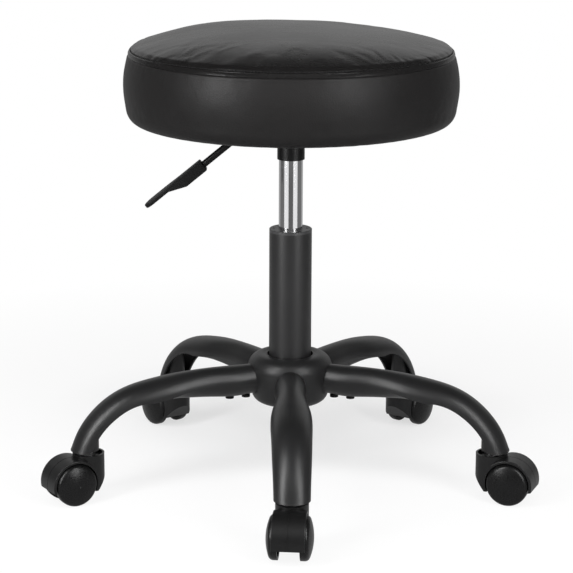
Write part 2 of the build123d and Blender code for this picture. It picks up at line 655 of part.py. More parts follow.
# Guide bush, with a flange that caps the tube and notches round its mouth
with BuildPart() as column_bush:
    with BuildSketch(Plane.XY.offset(column_top - BUSH_FLANGE)):
        Circle(COLUMN_RADIUS)
    extrude(amount=BUSH_FLANGE)
    chamfer(column_bush.faces().sort_by(Axis.Z)[-1].edges(), BUSH_EDGE)
    with BuildSketch(Plane.XY.offset(column_top - BUSH_FLANGE - BUSH_LENGTH)):
        Circle(column_bore_radius)
    extrude(amount=BUSH_LENGTH)
    with BuildSketch(Plane.XY.offset(column_top - BUSH_FLANGE - BUSH_LENGTH)):
        Circle(CYLINDER_RADIUS + RUNNING_CLEARANCE)
    extrude(amount=BUSH_LENGTH + BUSH_FLANGE, mode=Mode.SUBTRACT)
    with BuildSketch(Plane.XY.offset(column_top - BUSH_NOTCH_DEPTH)):
        with PolarLocations((CYLINDER_RADIUS + COLUMN_RADIUS) / 2, BUSH_NOTCH_COUNT):
            Rectangle(BUSH_NOTCH_WIDTH, BUSH_NOTCH_WIDTH)
    extrude(amount=BUSH_NOTCH_DEPTH, mode=Mode.SUBTRACT)
column_bush.part.label = "column_bush"
export_step(column_bush.part, "parts/column_bush.step")

# Thrust bearing on the column's floor
with BuildPart() as bearing_lower_race:
    with BuildSketch(Plane.XY.offset(column_floor)):
        Circle(RACE_RADIUS)
        Circle(ROD_TAIL_RADIUS + BODY_GAP, mode=Mode.SUBTRACT)
    extrude(amount=RACE_THICKNESS)
bearing_lower_race.part.label = "bearing_lower_race"
export_step(bearing_lower_race.part, "parts/bearing_lower_race.step")

with BuildPart() as bearing_balls:
    with Locations((0, 0, column_floor + RACE_THICKNESS + BALL_RADIUS)):
        with PolarLocations(BALL_CIRCLE_RADIUS, BALL_COUNT):
            Sphere(BALL_RADIUS)
bearing_balls.part.label = "bearing_balls"
export_step(bearing_balls.part, "parts/bearing_balls.step")

with BuildPart() as bearing_upper_race:
    with BuildSketch(Plane.XY.offset(upper_race_height)):
        Circle(RACE_RADIUS)
        Circle(ROD_TAIL_RADIUS, mode=Mode.SUBTRACT)
    extrude(amount=RACE_THICKNESS)
bearing_upper_race.part.label = "bearing_upper_race"
export_step(bearing_upper_race.part, "parts/bearing_upper_race.step")

# Piston rod: tail through the column's floor, flange on the bearing, tip that carries the piston
with BuildPart() as piston_rod:
    with BuildSketch(Plane.XZ):
        with BuildLine():
            clip_radius = ROD_TAIL_RADIUS - CLIP_DEPTH
            nut_height = piston_height + PISTON_HEIGHT
            Polyline(
                (0, rod_foot),
                (ROD_TAIL_RADIUS, rod_foot),
                (ROD_TAIL_RADIUS, clip_height),
                (clip_radius, clip_height),
                (clip_radius, clip_height + CLIP_THICKNESS),
                (ROD_TAIL_RADIUS, clip_height + CLIP_THICKNESS),
                (ROD_TAIL_RADIUS, rod_flange_height),
                (ROD_FLANGE_RADIUS, rod_flange_height),
                (ROD_FLANGE_RADIUS, rod_shoulder_height),
                (ROD_RADIUS, rod_shoulder_height),
                (ROD_RADIUS, piston_height),
                (ROD_TIP_RADIUS, piston_height),
                (ROD_TIP_RADIUS, nut_height),
                (PISTON_NUT_RADIUS, nut_height),
                (PISTON_NUT_RADIUS, nut_height + PISTON_NUT_HEIGHT),
                (0, nut_height + PISTON_NUT_HEIGHT),
                close=True,
            )
        make_face()
    revolve(axis=Axis.Z)
piston_rod.part.label = "piston_rod"
export_step(piston_rod.part, "parts/piston_rod.step")

with BuildPart() as piston:
    with BuildSketch(Plane.XY.offset(piston_height)):
        Circle(cylinder_bore_radius - RUNNING_CLEARANCE)
        Circle(ROD_TIP_RADIUS, mode=Mode.SUBTRACT)
    extrude(amount=PISTON_HEIGHT)
piston.part.label = "piston"
export_step(piston.part, "parts/piston.step")

with BuildPart() as bump_stop:
    with BuildSketch(Plane.XY.offset(rod_shoulder_height)):
        Circle(BUMP_STOP_RADIUS)
        Circle(ROD_RADIUS, mode=Mode.SUBTRACT)
    extrude(amount=BUMP_STOP_HEIGHT)
bump_stop.part.label = "bump_stop"
export_step(bump_stop.part, "parts/bump_stop.step")

with BuildPart() as rod_clip:
    with BuildSketch(Plane.XY.offset(clip_height)):
        Circle(CLIP_RADIUS)
        Circle(ROD_TAIL_RADIUS - CLIP_DEPTH, mode=Mode.SUBTRACT)
        with Locations((CLIP_RADIUS, 0)):
            Rectangle(2 * CLIP_RADIUS, CLIP_OPENING, mode=Mode.SUBTRACT)
    extrude(amount=CLIP_THICKNESS)
rod_clip.part.label = "rod_clip"
export_step(rod_clip.part, "parts/rod_clip.step")

# Gas cylinder: pressure tube with a tapered head and the valve's bore
with BuildPart() as cylinder_form:
    with BuildSketch(Plane.XZ):
        with BuildLine():
            Polyline(
                (0, cylinder_foot),
                (CYLINDER_RADIUS, cylinder_foot),
                (CYLINDER_RADIUS, socket_foot),
                (CYLINDER_RADIUS - TAPER_REDUCTION, cylinder_top),
                (0, cylinder_top),
                close=True,
            )
        make_face()
    revolve(axis=Axis.Z)

with BuildPart() as gas_cylinder:
    add(cylinder_form.part)
    with BuildSketch(Plane.XY.offset(cylinder_foot)):
        Circle(cylinder_bore_radius)
    extrude(amount=cylinder_top - CYLINDER_HEAD - cylinder_foot, mode=Mode.SUBTRACT)
    with BuildSketch(Plane.XY.offset(cylinder_top - CYLINDER_HEAD)):
        Circle(PIN_RADIUS + RUNNING_CLEARANCE)
    extrude(amount=CYLINDER_HEAD, mode=Mode.SUBTRACT)
gas_cylinder.part.label = "gas_cylinder"
export_step(gas_cylinder.part, "parts/gas_cylinder.step")

with BuildPart() as rod_guide:
    with BuildSketch(Plane.XY.offset(cylinder_foot)):
        Circle(cylinder_bore_radius)
        Circle(ROD_RADIUS + RUNNING_CLEARANCE, mode=Mode.SUBTRACT)
    extrude(amount=GUIDE_LENGTH)
rod_guide.part.label = "rod_guide"
export_step(rod_guide.part, "parts/rod_guide.step")

with BuildPart() as release_pin:
    with BuildSketch(Plane.XY.offset(pin_top - PIN_LENGTH)):
        Circle(PIN_RADIUS)
    extrude(amount=PIN_LENGTH)
    chamfer(release_pin.faces().sort_by(Axis.Z)[-1].edges(), PIN_EDGE)
release_pin.part.label = "release_pin"
export_step(release_pin.part, "parts/release_pin.step")

# Socket wedged on the cylinder's head
with BuildPart() as taper_socket:
    with BuildSketch(Plane.XY.offset(socket_foot)):
        Circle(CYLINDER_RADIUS + SOCKET_WALL)
    extrude(amount=SOCKET_LENGTH)
    add(cylinder_form.part, mode=Mode.SUBTRACT)
taper_socket.part.label = "taper_socket"
export_step(taper_socket.part, "parts/taper_socket.step")

# Housing: a steel channel under the plate, open at both ends, with the socket in its floor
with BuildPart() as lever_housing:
    with BuildSketch(Plane.YZ.offset(-HOUSING_FRONT)):
        with Locations((0, housing_floor)):
            Rectangle(HOUSING_WIDTH, plate_floor - housing_floor, align=(Align.CENTER, Align.MIN))
        with Locations((0, housing_floor + HOUSING_WALL)):
            Rectangle(
                HOUSING_WIDTH - 2 * HOUSING_WALL,
                plate_floor - housing_floor,
                align=(Align.CENTER, Align.MIN),
                mode=Mode.SUBTRACT,
            )
    extrude(amount=HOUSING_FRONT + HOUSING_BACK)
    with BuildSketch(Plane.XY.offset(housing_floor)):
        Circle(CYLINDER_RADIUS + SOCKET_WALL)
    extrude(amount=HOUSING_WALL, mode=Mode.SUBTRACT)
    with BuildSketch(Plane.XZ):
        with Locations((-LEVER_PIVOT_REACH, lever_height)):
            Circle(LEVER_PIVOT_RADIUS)
    extrude(amount=HOUSING_WIDTH, both=True, mode=Mode.SUBTRACT)
lever_housing.part.label = "lever_housing"
export_step(lever_housing.part, "parts/lever_housing.step")

# Pivot pin, riveted across the housing
with BuildPart() as lever_pivot_pin:
    with BuildSketch(Plane.XZ):
        with Locations((-LEVER_PIVOT_REACH, lever_height)):
            Circle(LEVER_PIVOT_RADIUS)
    extrude(amount=HOUSING_WIDTH / 2, both=True)
    for side in (-1, 1):
        with BuildSketch(Plane.XZ.offset(side * HOUSING_WIDTH / 2)):
            with Locations((-LEVER_PIVOT_REACH, lever_height)):
                Circle(LEVER_PIVOT_HEAD_RADIUS)
        extrude(amount=side * LEVER_PIVOT_HEAD_HEIGHT)
lever_pivot_pin.part.label = "lever_pivot_pin"
export_step(lever_pivot_pin.part, "parts/lever_pivot_pin.step")

# Lever rod: flat tongue over the release pin, hole for the pivot, then a bend down to the paddle
drop_x = -cos(radians(LEVER_DROP_ANGLE))
drop_z = -sin(radians(LEVER_DROP_ANGLE))
rod_start = LEVER_TONGUE_END - LEVER_TONGUE_LENGTH + LEVER_ROD_RADIUS
rod_reach = LEVER_ROD_DROP + PADDLE_BORE_DEPTH

with BuildPart() as lever_rod:
    with BuildLine(Plane.XZ) as lever_path:
        FilletPolyline(
            (rod_start, lever_height),
            (-LEVER_BEND_REACH, lever_height),
            (-LEVER_BEND_REACH + rod_reach * drop_x, lever_height + rod_reach * drop_z),
            radius=LEVER_BEND_RADIUS,
        )
    with BuildSketch(Plane(origin=lever_path.line @ 0, z_dir=lever_path.line % 0)):
        Circle(LEVER_ROD_RADIUS)
    sweep(path=lever_path.line)
    with BuildSketch(Plane.YZ.offset(LEVER_TONGUE_END)):
        with Locations((0, lever_height)):
            Rectangle(LEVER_TONGUE_WIDTH, LEVER_TONGUE_THICKNESS)
    extrude(amount=-LEVER_TONGUE_LENGTH)
    with BuildSketch(Plane.XZ):
        with Locations((-LEVER_PIVOT_REACH, lever_height)):
            Circle(LEVER_PIVOT_RADIUS + RUNNING_CLEARANCE)
    extrude(amount=HOUSING_WIDTH, both=True, mode=Mode.SUBTRACT)
lever_rod.part.label = "lever_rod"
export_step(lever_rod.part, "parts/lever_rod.step")

# Paddle: thick socket on the rod, stepped down to a broad flat blade in line with its upper face
paddle_origin = Vector(
    -LEVER_BEND_REACH + LEVER_ROD_DROP * drop_x, 0, lever_height + LEVER_ROD_DROP * drop_z
)
paddle_side = Plane(origin=paddle_origin, x_dir=(drop_x, 0, drop_z), z_dir=(0, 1, 0))
paddle_top = Plane(origin=paddle_origin, x_dir=(drop_x, 0, drop_z), z_dir=(drop_z, 0, -drop_x))
paddle_end = Plane(origin=paddle_origin, x_dir=(0, 1, 0), z_dir=(drop_x, 0, drop_z))

with BuildPart() as lever_paddle:
    with BuildSketch(paddle_side):
        with BuildLine():
            upper = PADDLE_SOCKET_SIZE / 2
            step_end = PADDLE_SOCKET_LENGTH + PADDLE_STEP_LENGTH
            Polyline(
                (0, upper),
                (PADDLE_LENGTH, upper),
                (PADDLE_LENGTH, upper - PADDLE_BLADE_THICKNESS),
                (step_end, upper - PADDLE_BLADE_THICKNESS),
                (PADDLE_SOCKET_LENGTH, -upper),
                (0, -upper),
                close=True,
            )
        make_face()
    extrude(amount=PADDLE_BLADE_WIDTH / 2, both=True)
    with BuildSketch(paddle_top):
        with BuildLine():
            half_socket = PADDLE_SOCKET_SIZE / 2
            half_blade = PADDLE_BLADE_WIDTH / 2
            round_start = PADDLE_LENGTH - half_blade
            near_side = Polyline(
                (0, -half_socket),
                (PADDLE_SOCKET_LENGTH, -half_socket),
                (step_end, -half_blade),
                (round_start, -half_blade),
            )
            nose = ThreePointArc(near_side @ 1, (PADDLE_LENGTH, 0), (round_start, half_blade))
            Polyline(
                nose @ 1,
                (step_end, half_blade),
                (PADDLE_SOCKET_LENGTH, half_socket),
                (0, half_socket),
                (0, -half_socket),
            )
        make_face()
    extrude(amount=PADDLE_SOCKET_SIZE, both=True, mode=Mode.INTERSECT)
    fillet(lever_paddle.edges(), PADDLE_EDGE_RADIUS)
    with BuildSketch(paddle_end):
        Circle(LEVER_ROD_RADIUS)
    extrude(amount=PADDLE_BORE_DEPTH, mode=Mode.SUBTRACT)
lever_paddle.part.label = "lever_paddle"
export_step(lever_paddle.part, "parts/lever_paddle.step")

# Steel plate under the board
with BuildPart() as seat_plate:
    with BuildSketch(Plane.XY.offset(plate_floor)):
        RectangleRounded(PLATE_SIZE, PLATE_SIZE, PLATE_CORNER_RADIUS)
        with GridLocations(BOLT_SPACING, BOLT_SPACING, 2, 2):
            Circle(BOLT_RADIUS + SCREW_CLEARANCE, mode=Mode.SUBTRACT)
    extrude(amount=PLATE_THICKNESS)
seat_plate.part.label = "seat_plate"
export_step(seat_plate.part, "parts/seat_plate.step")

# Hexagon bolts from below, up into the nuts
with BuildPart() as plate_bolts:
    with BuildSketch(Plane.XY.offset(plate_floor - BOLT_HEAD_HEIGHT)):
        with GridLocations(BOLT_SPACING, BOLT_SPACING, 2, 2):
            RegularPolygon(BOLT_HEAD_RADIUS, 6)
    extrude(amount=BOLT_HEAD_HEIGHT)
    with BuildSketch(Plane.XY.offset(plate_floor)):
        with GridLocations(BOLT_SPACING, BOLT_SPACING, 2, 2):
            Circle(BOLT_RADIUS)
    extrude(amount=board_top - NUT_FLANGE_THICKNESS - plate_floor)
plate_bolts.part.label = "plate_bolts"
export_step(plate_bolts.part, "parts/plate_bolts.step")

# Flanged nuts, let into the board from above
with BuildPart() as t_nuts:
    with BuildSketch(Plane.XY.offset(board_floor)):
        with GridLocations(BOLT_SPACING, BOLT_SPACING, 2, 2):
            Circle(NUT_BARREL_RADIUS)
    extrude(amount=BOARD_THICKNESS)
    with BuildSketch(Plane.XY.offset(board_top - NUT_FLANGE_THICKNESS)):
        with GridLocations(BOLT_SPACING, BOLT_SPACING, 2, 2):
            Circle(NUT_FLANGE_RADIUS)
    extrude(amount=NUT_FLANGE_THICKNESS)
    with BuildSketch(Plane.XY.offset(board_floor)):
        with GridLocations(BOLT_SPACING, BOLT_SPACING, 2, 2):
            Circle(BOLT_RADIUS)
    extrude(amount=BOARD_THICKNESS, mode=Mode.SUBTRACT)
t_nuts.part.label = "t_nuts"
export_step(t_nuts.part, "parts/t_nuts.step")

# Staples through cloth and cover into the board
with BuildPart() as cover_staples:
    with BuildSketch(Plane.XY.offset(plate_top - STAPLE_WIRE)):
        with PolarLocations(SEAT_RADIUS - STAPLE_INSET, STAPLE_COUNT):
            Rectangle(STAPLE_WIRE, STAPLE_WIDTH)
    extrude(amount=STAPLE_WIRE)
    with BuildSketch(Plane.XY.offset(plate_top)):
        with PolarLocations(SEAT_RADIUS - STAPLE_INSET, STAPLE_COUNT):
            with GridLocations(0, STAPLE_WIDTH - STAPLE_WIRE, 1, 2):
                Rectangle(STAPLE_WIRE, STAPLE_WIRE)
    extrude(amount=STAPLE_LENGTH)
cover_staples.part.label = "cover_staples"
export_step(cover_staples.part, "parts/cover_staples.step")

# Plywood board
with BuildPart() as seat_board:
    with BuildSketch(Plane.XY.offset(board_floor)):
        Circle(board_radius)
    extrude(amount=BOARD_THICKNESS)
    add(t_nuts.part, mode=Mode.SUBTRACT)
    add(cover_staples.part, mode=Mode.SUBTRACT)
    with BuildSketch(Plane.XY.offset(board_floor)):
        with GridLocations(BOLT_SPACING, BOLT_SPACING, 2, 2):
            Circle(BOLT_RADIUS)
    extrude(amount=BOARD_THICKNESS, mode=Mode.SUBTRACT)
seat_board.part.label = "seat_board"
export_step(seat_board.part, "parts/seat_board.step")

# Cloth that closes the underside
with BuildPart() as dust_cover:
    with BuildSketch(Plane.XY.offset(plate_top)):
        Circle(dust_cover_radius)
        with GridLocations(BOLT_SPACING, BOLT_SPACING, 2, 2):
            Circle(BOLT_RADIUS + SCREW_CLEARANCE, mode=Mode.SUBTRACT)
    extrude(amount=DUST_COVER_THICKNESS)
    add(cover_staples.part, mode=Mode.SUBTRACT)
dust_cover.part.label = "dust_cover"
export_step(dust_cover.part, "parts/dust_cover.step")


def cushion_outline(inset=0.0):
    """Half outline: crowned top, drawn in at the seam, bulging band, turned-in underside."""
    crown_top = (0, seam_height + CROWN_HEIGHT)
    crown_angle = degrees(asin((SEAT_RADIUS - CROWN_FLAT_INSET) / CROWN_RADIUS))
    crown_edge = (SEAT_RADIUS - CROWN_EDGE_INSET, seam_height + CROWN_EDGE_HEIGHT)
    widest = (SEAT_RADIUS, underside + BAND_BULGE_HEIGHT)
    band_end = (SEAT_RADIUS - BAND_HEEL_INSET, underside + BAND_HEEL_HEIGHT)
    with BuildSketch(Plane.XZ) as outline:
        with BuildLine():
            crown = JernArc(crown_top, (1, 0), CROWN_RADIUS, -crown_angle)
            shoulder = TangentArc(crown @ 1, crown_edge, tangent=crown % 1)
            edge = TangentArc(shoulder @ 1, (seam_radius, seam_height), tangent=shoulder % 1)
            band = ThreePointArc(edge @ 1, widest, band_end)
            heel = TangentArc(band @ 1, (SEAT_RADIUS - UNDERSIDE_INSET, underside), tangent=band % 1)
            Line(heel @ 1, (0, underside))
            mirror(about=Plane.YZ)
        make_face()
        if inset:
            offset(amount=-inset)
        split(bisect_by=Plane.YZ, keep=Keep.TOP)
    return outline.sketch


# Cover of the cushion as one skin, before it is parted at the seam
with BuildPart() as cover_form:
    revolve(cushion_outline(), axis=Axis.Z)
    revolve(cushion_outline(COVER_THICKNESS), axis=Axis.Z, mode=Mode.SUBTRACT)

with BuildPart() as seat_top_panel:
    add(cover_form.part)
    split(bisect_by=Plane.XY.offset(seam_height), keep=Keep.TOP)
seat_top_panel.part.label = "seat_top_panel"
export_step(seat_top_panel.part, "parts/seat_top_panel.step")

with BuildPart() as seat_side_band:
    add(cover_form.part)
    split(bisect_by=Plane.XY.offset(seam_height), keep=Keep.BOTTOM)
    with BuildSketch(Plane.XY.offset(underside)):
        Circle(lip_radius)
    extrude(amount=BAND_HEIGHT, mode=Mode.SUBTRACT)
    add(cover_staples.part, mode=Mode.SUBTRACT)
seat_side_band.part.label = "seat_side_band"
export_step(seat_side_band.part, "parts/seat_side_band.step")

# Foam: fills the cover round and above the board
with BuildPart() as seat_foam:
    revolve(cushion_outline(COVER_THICKNESS + SOFT_GAP), axis=Axis.Z)
    with BuildSketch(Plane.XY.offset(underside)):
        Circle(board_radius + SOFT_GAP)
    extrude(amount=board_top - underside, mode=Mode.SUBTRACT)
seat_foam.part.label = "seat_foam"
export_step(seat_foam.part, "parts/seat_foam.step")
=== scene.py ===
import math
import random

import bmesh
import bpy
import numpy as np
from mathutils import Matrix, Vector


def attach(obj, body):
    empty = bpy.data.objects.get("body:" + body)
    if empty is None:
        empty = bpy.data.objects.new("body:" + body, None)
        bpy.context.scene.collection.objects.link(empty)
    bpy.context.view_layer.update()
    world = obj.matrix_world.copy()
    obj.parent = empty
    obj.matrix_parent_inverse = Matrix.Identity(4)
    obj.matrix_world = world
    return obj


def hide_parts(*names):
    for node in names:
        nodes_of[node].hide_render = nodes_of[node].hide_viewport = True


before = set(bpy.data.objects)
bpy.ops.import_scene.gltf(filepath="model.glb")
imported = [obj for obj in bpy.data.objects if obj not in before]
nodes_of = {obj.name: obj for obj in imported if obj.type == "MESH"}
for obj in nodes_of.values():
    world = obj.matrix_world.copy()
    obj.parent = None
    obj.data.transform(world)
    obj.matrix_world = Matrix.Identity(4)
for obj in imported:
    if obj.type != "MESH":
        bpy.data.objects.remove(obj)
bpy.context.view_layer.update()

scene = bpy.context.scene
MM = 0.001

# Camera, found from the outlines of the seat, the column and the wheels
FRAME_PIXELS = 573
FOCAL_PIXELS = 2145.73
SENSOR_WIDTH = 36.0
CAMERA_PLACE = (0.0, -2.4523, 0.8544)
CAMERA_PITCH = 0.2469
CAMERA_YAW = math.radians(-0.71)
CAMERA_ROLL = 0.005
CAMERA_SHIFT_PIXELS = 3.84

# Half outline of the cushion in millimetres; a point is its radius and its height
CROWN_TOP = 542.226
CROWN_RADIUS = 1100.0
CROWN_REACH = 105.3
CROWN_EDGE = (179.0, 522.226)
SEAM = (187.6, 511.526)
BAND_WIDEST = (193.3, 477.226)
BAND_END = (189.8, 450.226)
HEEL_END = (169.7, 434.726)
LIP_RADIUS = 139.7
BOARD_TOP = 448.226
BOARD_RADIUS = 165.0
BOARD_GAP = 0.2
COVER_THICKNESS = 1.4
FOAM_GAP = 0.6
CROWN_POINTS = 60
EDGE_POINTS = 40
BAND_POINTS = 80
HEADING_STEP = 0.4  # half the stretch of outline over which a normal is measured

# Rings of the cushion's meshes, closer together towards the seam
SEGMENTS = 640
CROWN_FIRST_RING = 2.0
CROWN_RINGS = 46
RIM_ZONE = 46.0
RIM_RINGS = 44
STITCH_ZONE = 6.0
STITCH_RINGS = 46
BAND_SEAM_ZONE = 10.0
BAND_SEAM_RINGS = 16
BAND_RINGS = 84
SEAM_RINGS_LEFT_OUT = 4  # of the band's inside, next to the seam
FILLING_PLACES = (6.0, 30.0, 50.0, 64.0)  # of the filling's wall, down from the seam
TOP_TUCK = ((-0.9, -1.1), (-2.6, -1.7))  # turned-in edges at the seam, from the seam
BAND_TUCK = ((-2.6, -2.6), (-1.4, -0.9))

# Swells and grooves along the outline: place, width and height
STITCH_GROOVE = (0.0, 0.9, 0.9)
STITCH_DIP = (3.0, 3.2, 0.5)
SEAM_ROLL = (4.2, 2.6, 0.35)
BAND_SEAM_GROOVE = (0.0, 1.1, 0.9)
BAND_SEAM_ROLL = (3.0, 2.0, 0.25)
HEEL_SWELL = (13.0, 12.0, 2.4)  # where the side rolls under the board
CLOSING_GROOVE = (0.0, 0.9, 0.8)
CLOSING_ROLL = (3.2, 2.4, 0.25)
CLOSING_RADIUS = 190.0

# Topstitching
STITCH_FROM_SEAM = 6.6
STITCH_PITCH = 3.7
STITCH_LENGTH = 2.7
STITCH_RADIUS = 0.34
STITCH_SINK = 0.35
STITCH_END_SINK = 0.75
STITCH_SIDES = 8
STITCH_PROFILE = ((-0.5, 0.25), (-0.38, 0.8), (-0.15, 1.0), (0.15, 1.0), (0.38, 0.8), (0.5, 0.25))

# Random folds that run in from the seam: number, then the ranges of width, reach, depth and lean
FOLD_SEED = 11
TOP_FOLDS = (150, (1.6, 4.2), (4.0, 15.0), (0.06, 0.24), (-0.25, 0.25))
LONG_FOLDS = (26, (5.0, 10.0), (16.0, 36.0), (0.03, 0.12), (-0.5, 0.5))
BAND_FOLDS = (120, (1.8, 4.5), (4.0, 14.0), (0.05, 0.16), (-0.3, 0.3))
TOP_FOLD_RADIUS = 184.0
BAND_FOLD_RADIUS = 188.0
TOP_FOLD_RISE = (-1.5, 1.5)
LONG_FOLD_RISE = (0.0, 8.0)

# Slow waves round the ring: seed, orders and size; each order takes a random share
WAVE_SHARE = (0.4, 1.0)
TOP_WAVES = (3, (2, 3, 5, 7), 0.5)
TOP_WAVE_RISE = (0.0, 30.0)
TOP_WAVE_MIDDLE = (20.0, 120.0)
BAND_WAVES = (5, (2, 3, 4, 6), 0.45)
PLEATS = (7, tuple(range(38, 74, 3)), 0.22)
PLEAT_SINK = 0.2
PLEAT_RISE = (12.0, 30.0)
HEEL_TURN = (-6.0, 26.0)

# Creases in the top panel: place round the seat and from its middle, heading, length, width, depth
CREASES = (
    (-54, 156, -72, 34, 4.0, 0.30),
    (-49, 170, -66, 22, 3.2, 0.24),
    (-57, 168, -78, 20, 3.0, 0.16),
    (-140, 152, -112, 30, 4.5, 0.24),
    (-131, 168, -104, 20, 3.2, 0.20),
)
CREASE_LIP = 0.6
CREASE_CORE = 0.8
CREASE_RISE = (0.0, 4.0)

# Uneven filling: place of each swell or hollow in the crown, its reach and height
BULGES = (
    (-82, 60, 85, 2.4),
    (88, 55, 85, -1.3),
)
BULGE_RISE = (0.0, 60.0)

# Cover as cloth: a coarse net of the skin, sewn down at the seam and held under the board
CLOTH_SEGMENTS = 240
CLOTH_STEP = 5.0
CLOTH_FRAMES = 20
CLOTH_QUALITY = 6
CLOTH_MASS = 0.3
CLOTH_STIFFNESS = 20.0
CLOTH_SHEAR = 8.0
CLOTH_BENDING = 2.0
CLOTH_PRESSURE = 4.0
CLOTH_SEED = 5
CLOTH_EASE = 0.003  # spare length of the cover over the foam
CLOTH_CAP = 0.16  # most that the simulation may move a point, in millimetres
CLOTH_START = 0.08  # unevenness of the net at the start, in millimetres
CLOTH_MIDDLE = (20.0, 110.0)  # the lift fades out towards the crown's middle
CLOTH_SMOOTHING = 4
SEWN_WIDTH = 0.5

# Dust cover under the board, in millimetres
DUST_SEGMENTS = 256
DUST_RADIUS = 158.3
DUST_TOP = 434.726
DUST_THICKNESS = 0.6
DUST_HEM = 9.0
DUST_HEM_THICKNESS = 1.0
DUST_HEM_RINGS = (149.8, 151.5, 154.0, 156.5, 158.0)
DUST_FIRST_RING = 4.0
DUST_PLATE_ZONE = 70.0
DUST_PLATE_RINGS = 12
DUST_RINGS = 34
DUST_GAP = 0.35
DUST_TOUCH = 0.02
DUST_SAG = 1.6
DUST_SAG_FROM_PLATE = (0.0, 22.0)
DUST_SAG_FROM_STAPLES = (4.0, 26.0)
DUST_SCALLOP = (4.0, 9.0, 0.45)  # between staples: place inside their ring, width and height
DUST_PULL = 0.35
DUST_PULL_RISE = (112.0, 146.0)
STAPLE_COUNT = 16
STAPLE_RADIUS = 150.3
PLATE_HALF = 75.0
BOLT_SPACING = 115.0
BOLT_HOLE_RADIUS = 3.4
BOLT_HOLE_DEPTH = 12.0
BOLT_HOLE_SIDES = 32

# Floor, in metres: how white the camera sees it, and how much of that reflections show
FLOOR_HALF = 12.0
FLOOR_COLOUR = (0.9, 0.9, 0.905, 1)
# Round the shade place less of the floor is white, so it is darker there in any light: painted shade that
# deepens the real shadow under the stool.
FLOOR_SHADE_PLACE = (0.0, 0.22, 0.0)
FLOOR_SHADE_WHITE = 0.58
FLOOR_SHADE_FADE = (0.08, 0.34)
FLOOR_NEAR_WHITE = 0.86
FLOOR_FADE = (0.34, 0.8)
FLOOR_REFLECTED = 0.42
FLOOR_REFLECTED_FRONT = (-0.2, 0.2)
FLOOR_REFLECTED_FADE = (0.95, 1.3)

# Room: its light, and the backdrop that reflections show, by direction
AMBIENT = 0.2
BACKDROP_FRONT = 0.18
BACKDROP_BEHIND = 0.82
BACKDROP_TURN = (0.3, 0.9)
BACKDROP_LOW = 0.5
BACKDROP_RISE = (0.05, 0.45)
BACKDROP_ABOVE = 0.06
BACKDROP_EDGE = (0.46, 0.54)

# Strip lights: place in plan, width and radiance, and the heights at which their lengths part
LEFT_STRIP = (-0.892, -0.803, 0.3, 15.0)
RIGHT_STRIP = (0.735, -0.949, 0.34, 9.5)
STRIP_FOOT = 0.2
STRIP_GLARE = (0.45, 1.35)
STRIP_HEAD = 1.9

# Soft lights from above: place, aim, width, height and radiance
FRONT_TOP = ((0.0, -1.3, 2.2), (0, 0, 0.3), 1.2, 0.8, 4.6)
OVERHEAD = ((0.0, 0.2, 2.4), (0, 0, 0), 2.0, 2.0, 0.25)

# Grey cards for reflections: azimuth, width, and strength at the foot and higher up
FRONT_FLAG = (0.0, 0.86, (0.14, 0.75))
LEFT_FLAG = (-93.0, 1.1, (0.18, 0.18))
RIGHT_FLAG = (93.0, 1.1, (0.18, 0.18))
FLAG_DISTANCE = 1.05
FLAG_FOOT = 0.001
FLAG_HEIGHT = 1.2
FLAG_FADE = (0.15, 0.7)


# Outlines


def rotated(vector, angle):
    """The vector turned anticlockwise."""
    c, s = math.cos(angle), math.sin(angle)
    return np.array([vector[0] * c - vector[1] * s, vector[0] * s + vector[1] * c])


def tangent_arc(start, heading, end, count):
    """Points of the arc that leaves start along heading and ends at end, and its last heading."""
    start, end = np.array(start, float), np.array(end, float)
    heading = np.array(heading, float) / np.linalg.norm(heading)
    side = np.array([-heading[1], heading[0]])
    chord = end - start
    radius = chord @ chord / (2 * (chord @ side))
    centre = start + radius * side
    turn = 2 * math.atan2(chord @ side, chord @ heading)
    points = [centre + rotated(start - centre, angle) for angle in np.linspace(0.0, turn, count)]
    return np.array(points), rotated(heading, turn)


def three_point_arc(start, middle, end, count):
    """Points of the arc through three points, and its last heading."""
    (ax, ay), (bx, by), (cx, cy) = start, middle, end
    d = 2 * (ax * (by - cy) + bx * (cy - ay) + cx * (ay - by))
    ux = ((ax**2 + ay**2) * (by - cy) + (bx**2 + by**2) * (cy - ay) + (cx**2 + cy**2) * (ay - by)) / d
    uy = ((ax**2 + ay**2) * (cx - bx) + (bx**2 + by**2) * (ax - cx) + (cx**2 + cy**2) * (bx - ax)) / d
    radius = math.hypot(ax - ux, ay - uy)
    first = math.atan2(ay - uy, ax - ux)
    last = math.atan2(cy - uy, cx - ux)
    turns = np.linspace(first, last, count)
    points = np.stack([ux + radius * np.cos(turns), uy + radius * np.sin(turns)], 1)
    way = math.copysign(1.0, last - first)
    return points, np.array([-math.sin(last) * way, math.cos(last) * way])


def resample(points, places):
    """Points at the given arc lengths along a polyline, with unit normals on its left."""
    steps = np.linalg.norm(np.diff(points, axis=0), axis=1)
    length = np.concatenate([[0.0], np.cumsum(steps)])

    def at(where):
        return np.stack([np.interp(where, length, points[:, k]) for k in (0, 1)], 1)

    ahead = at(np.minimum(places + HEADING_STEP, length[-1]))
    behind = at(np.maximum(places - HEADING_STEP, 0.0))
    along = ahead - behind
    along /= np.linalg.norm(along, axis=1)[:, None]
    return at(places), np.stack([-along[:, 1], along[:, 0]], 1)


def total_length(points):
    return float(np.linalg.norm(np.diff(points, axis=0), axis=1).sum())


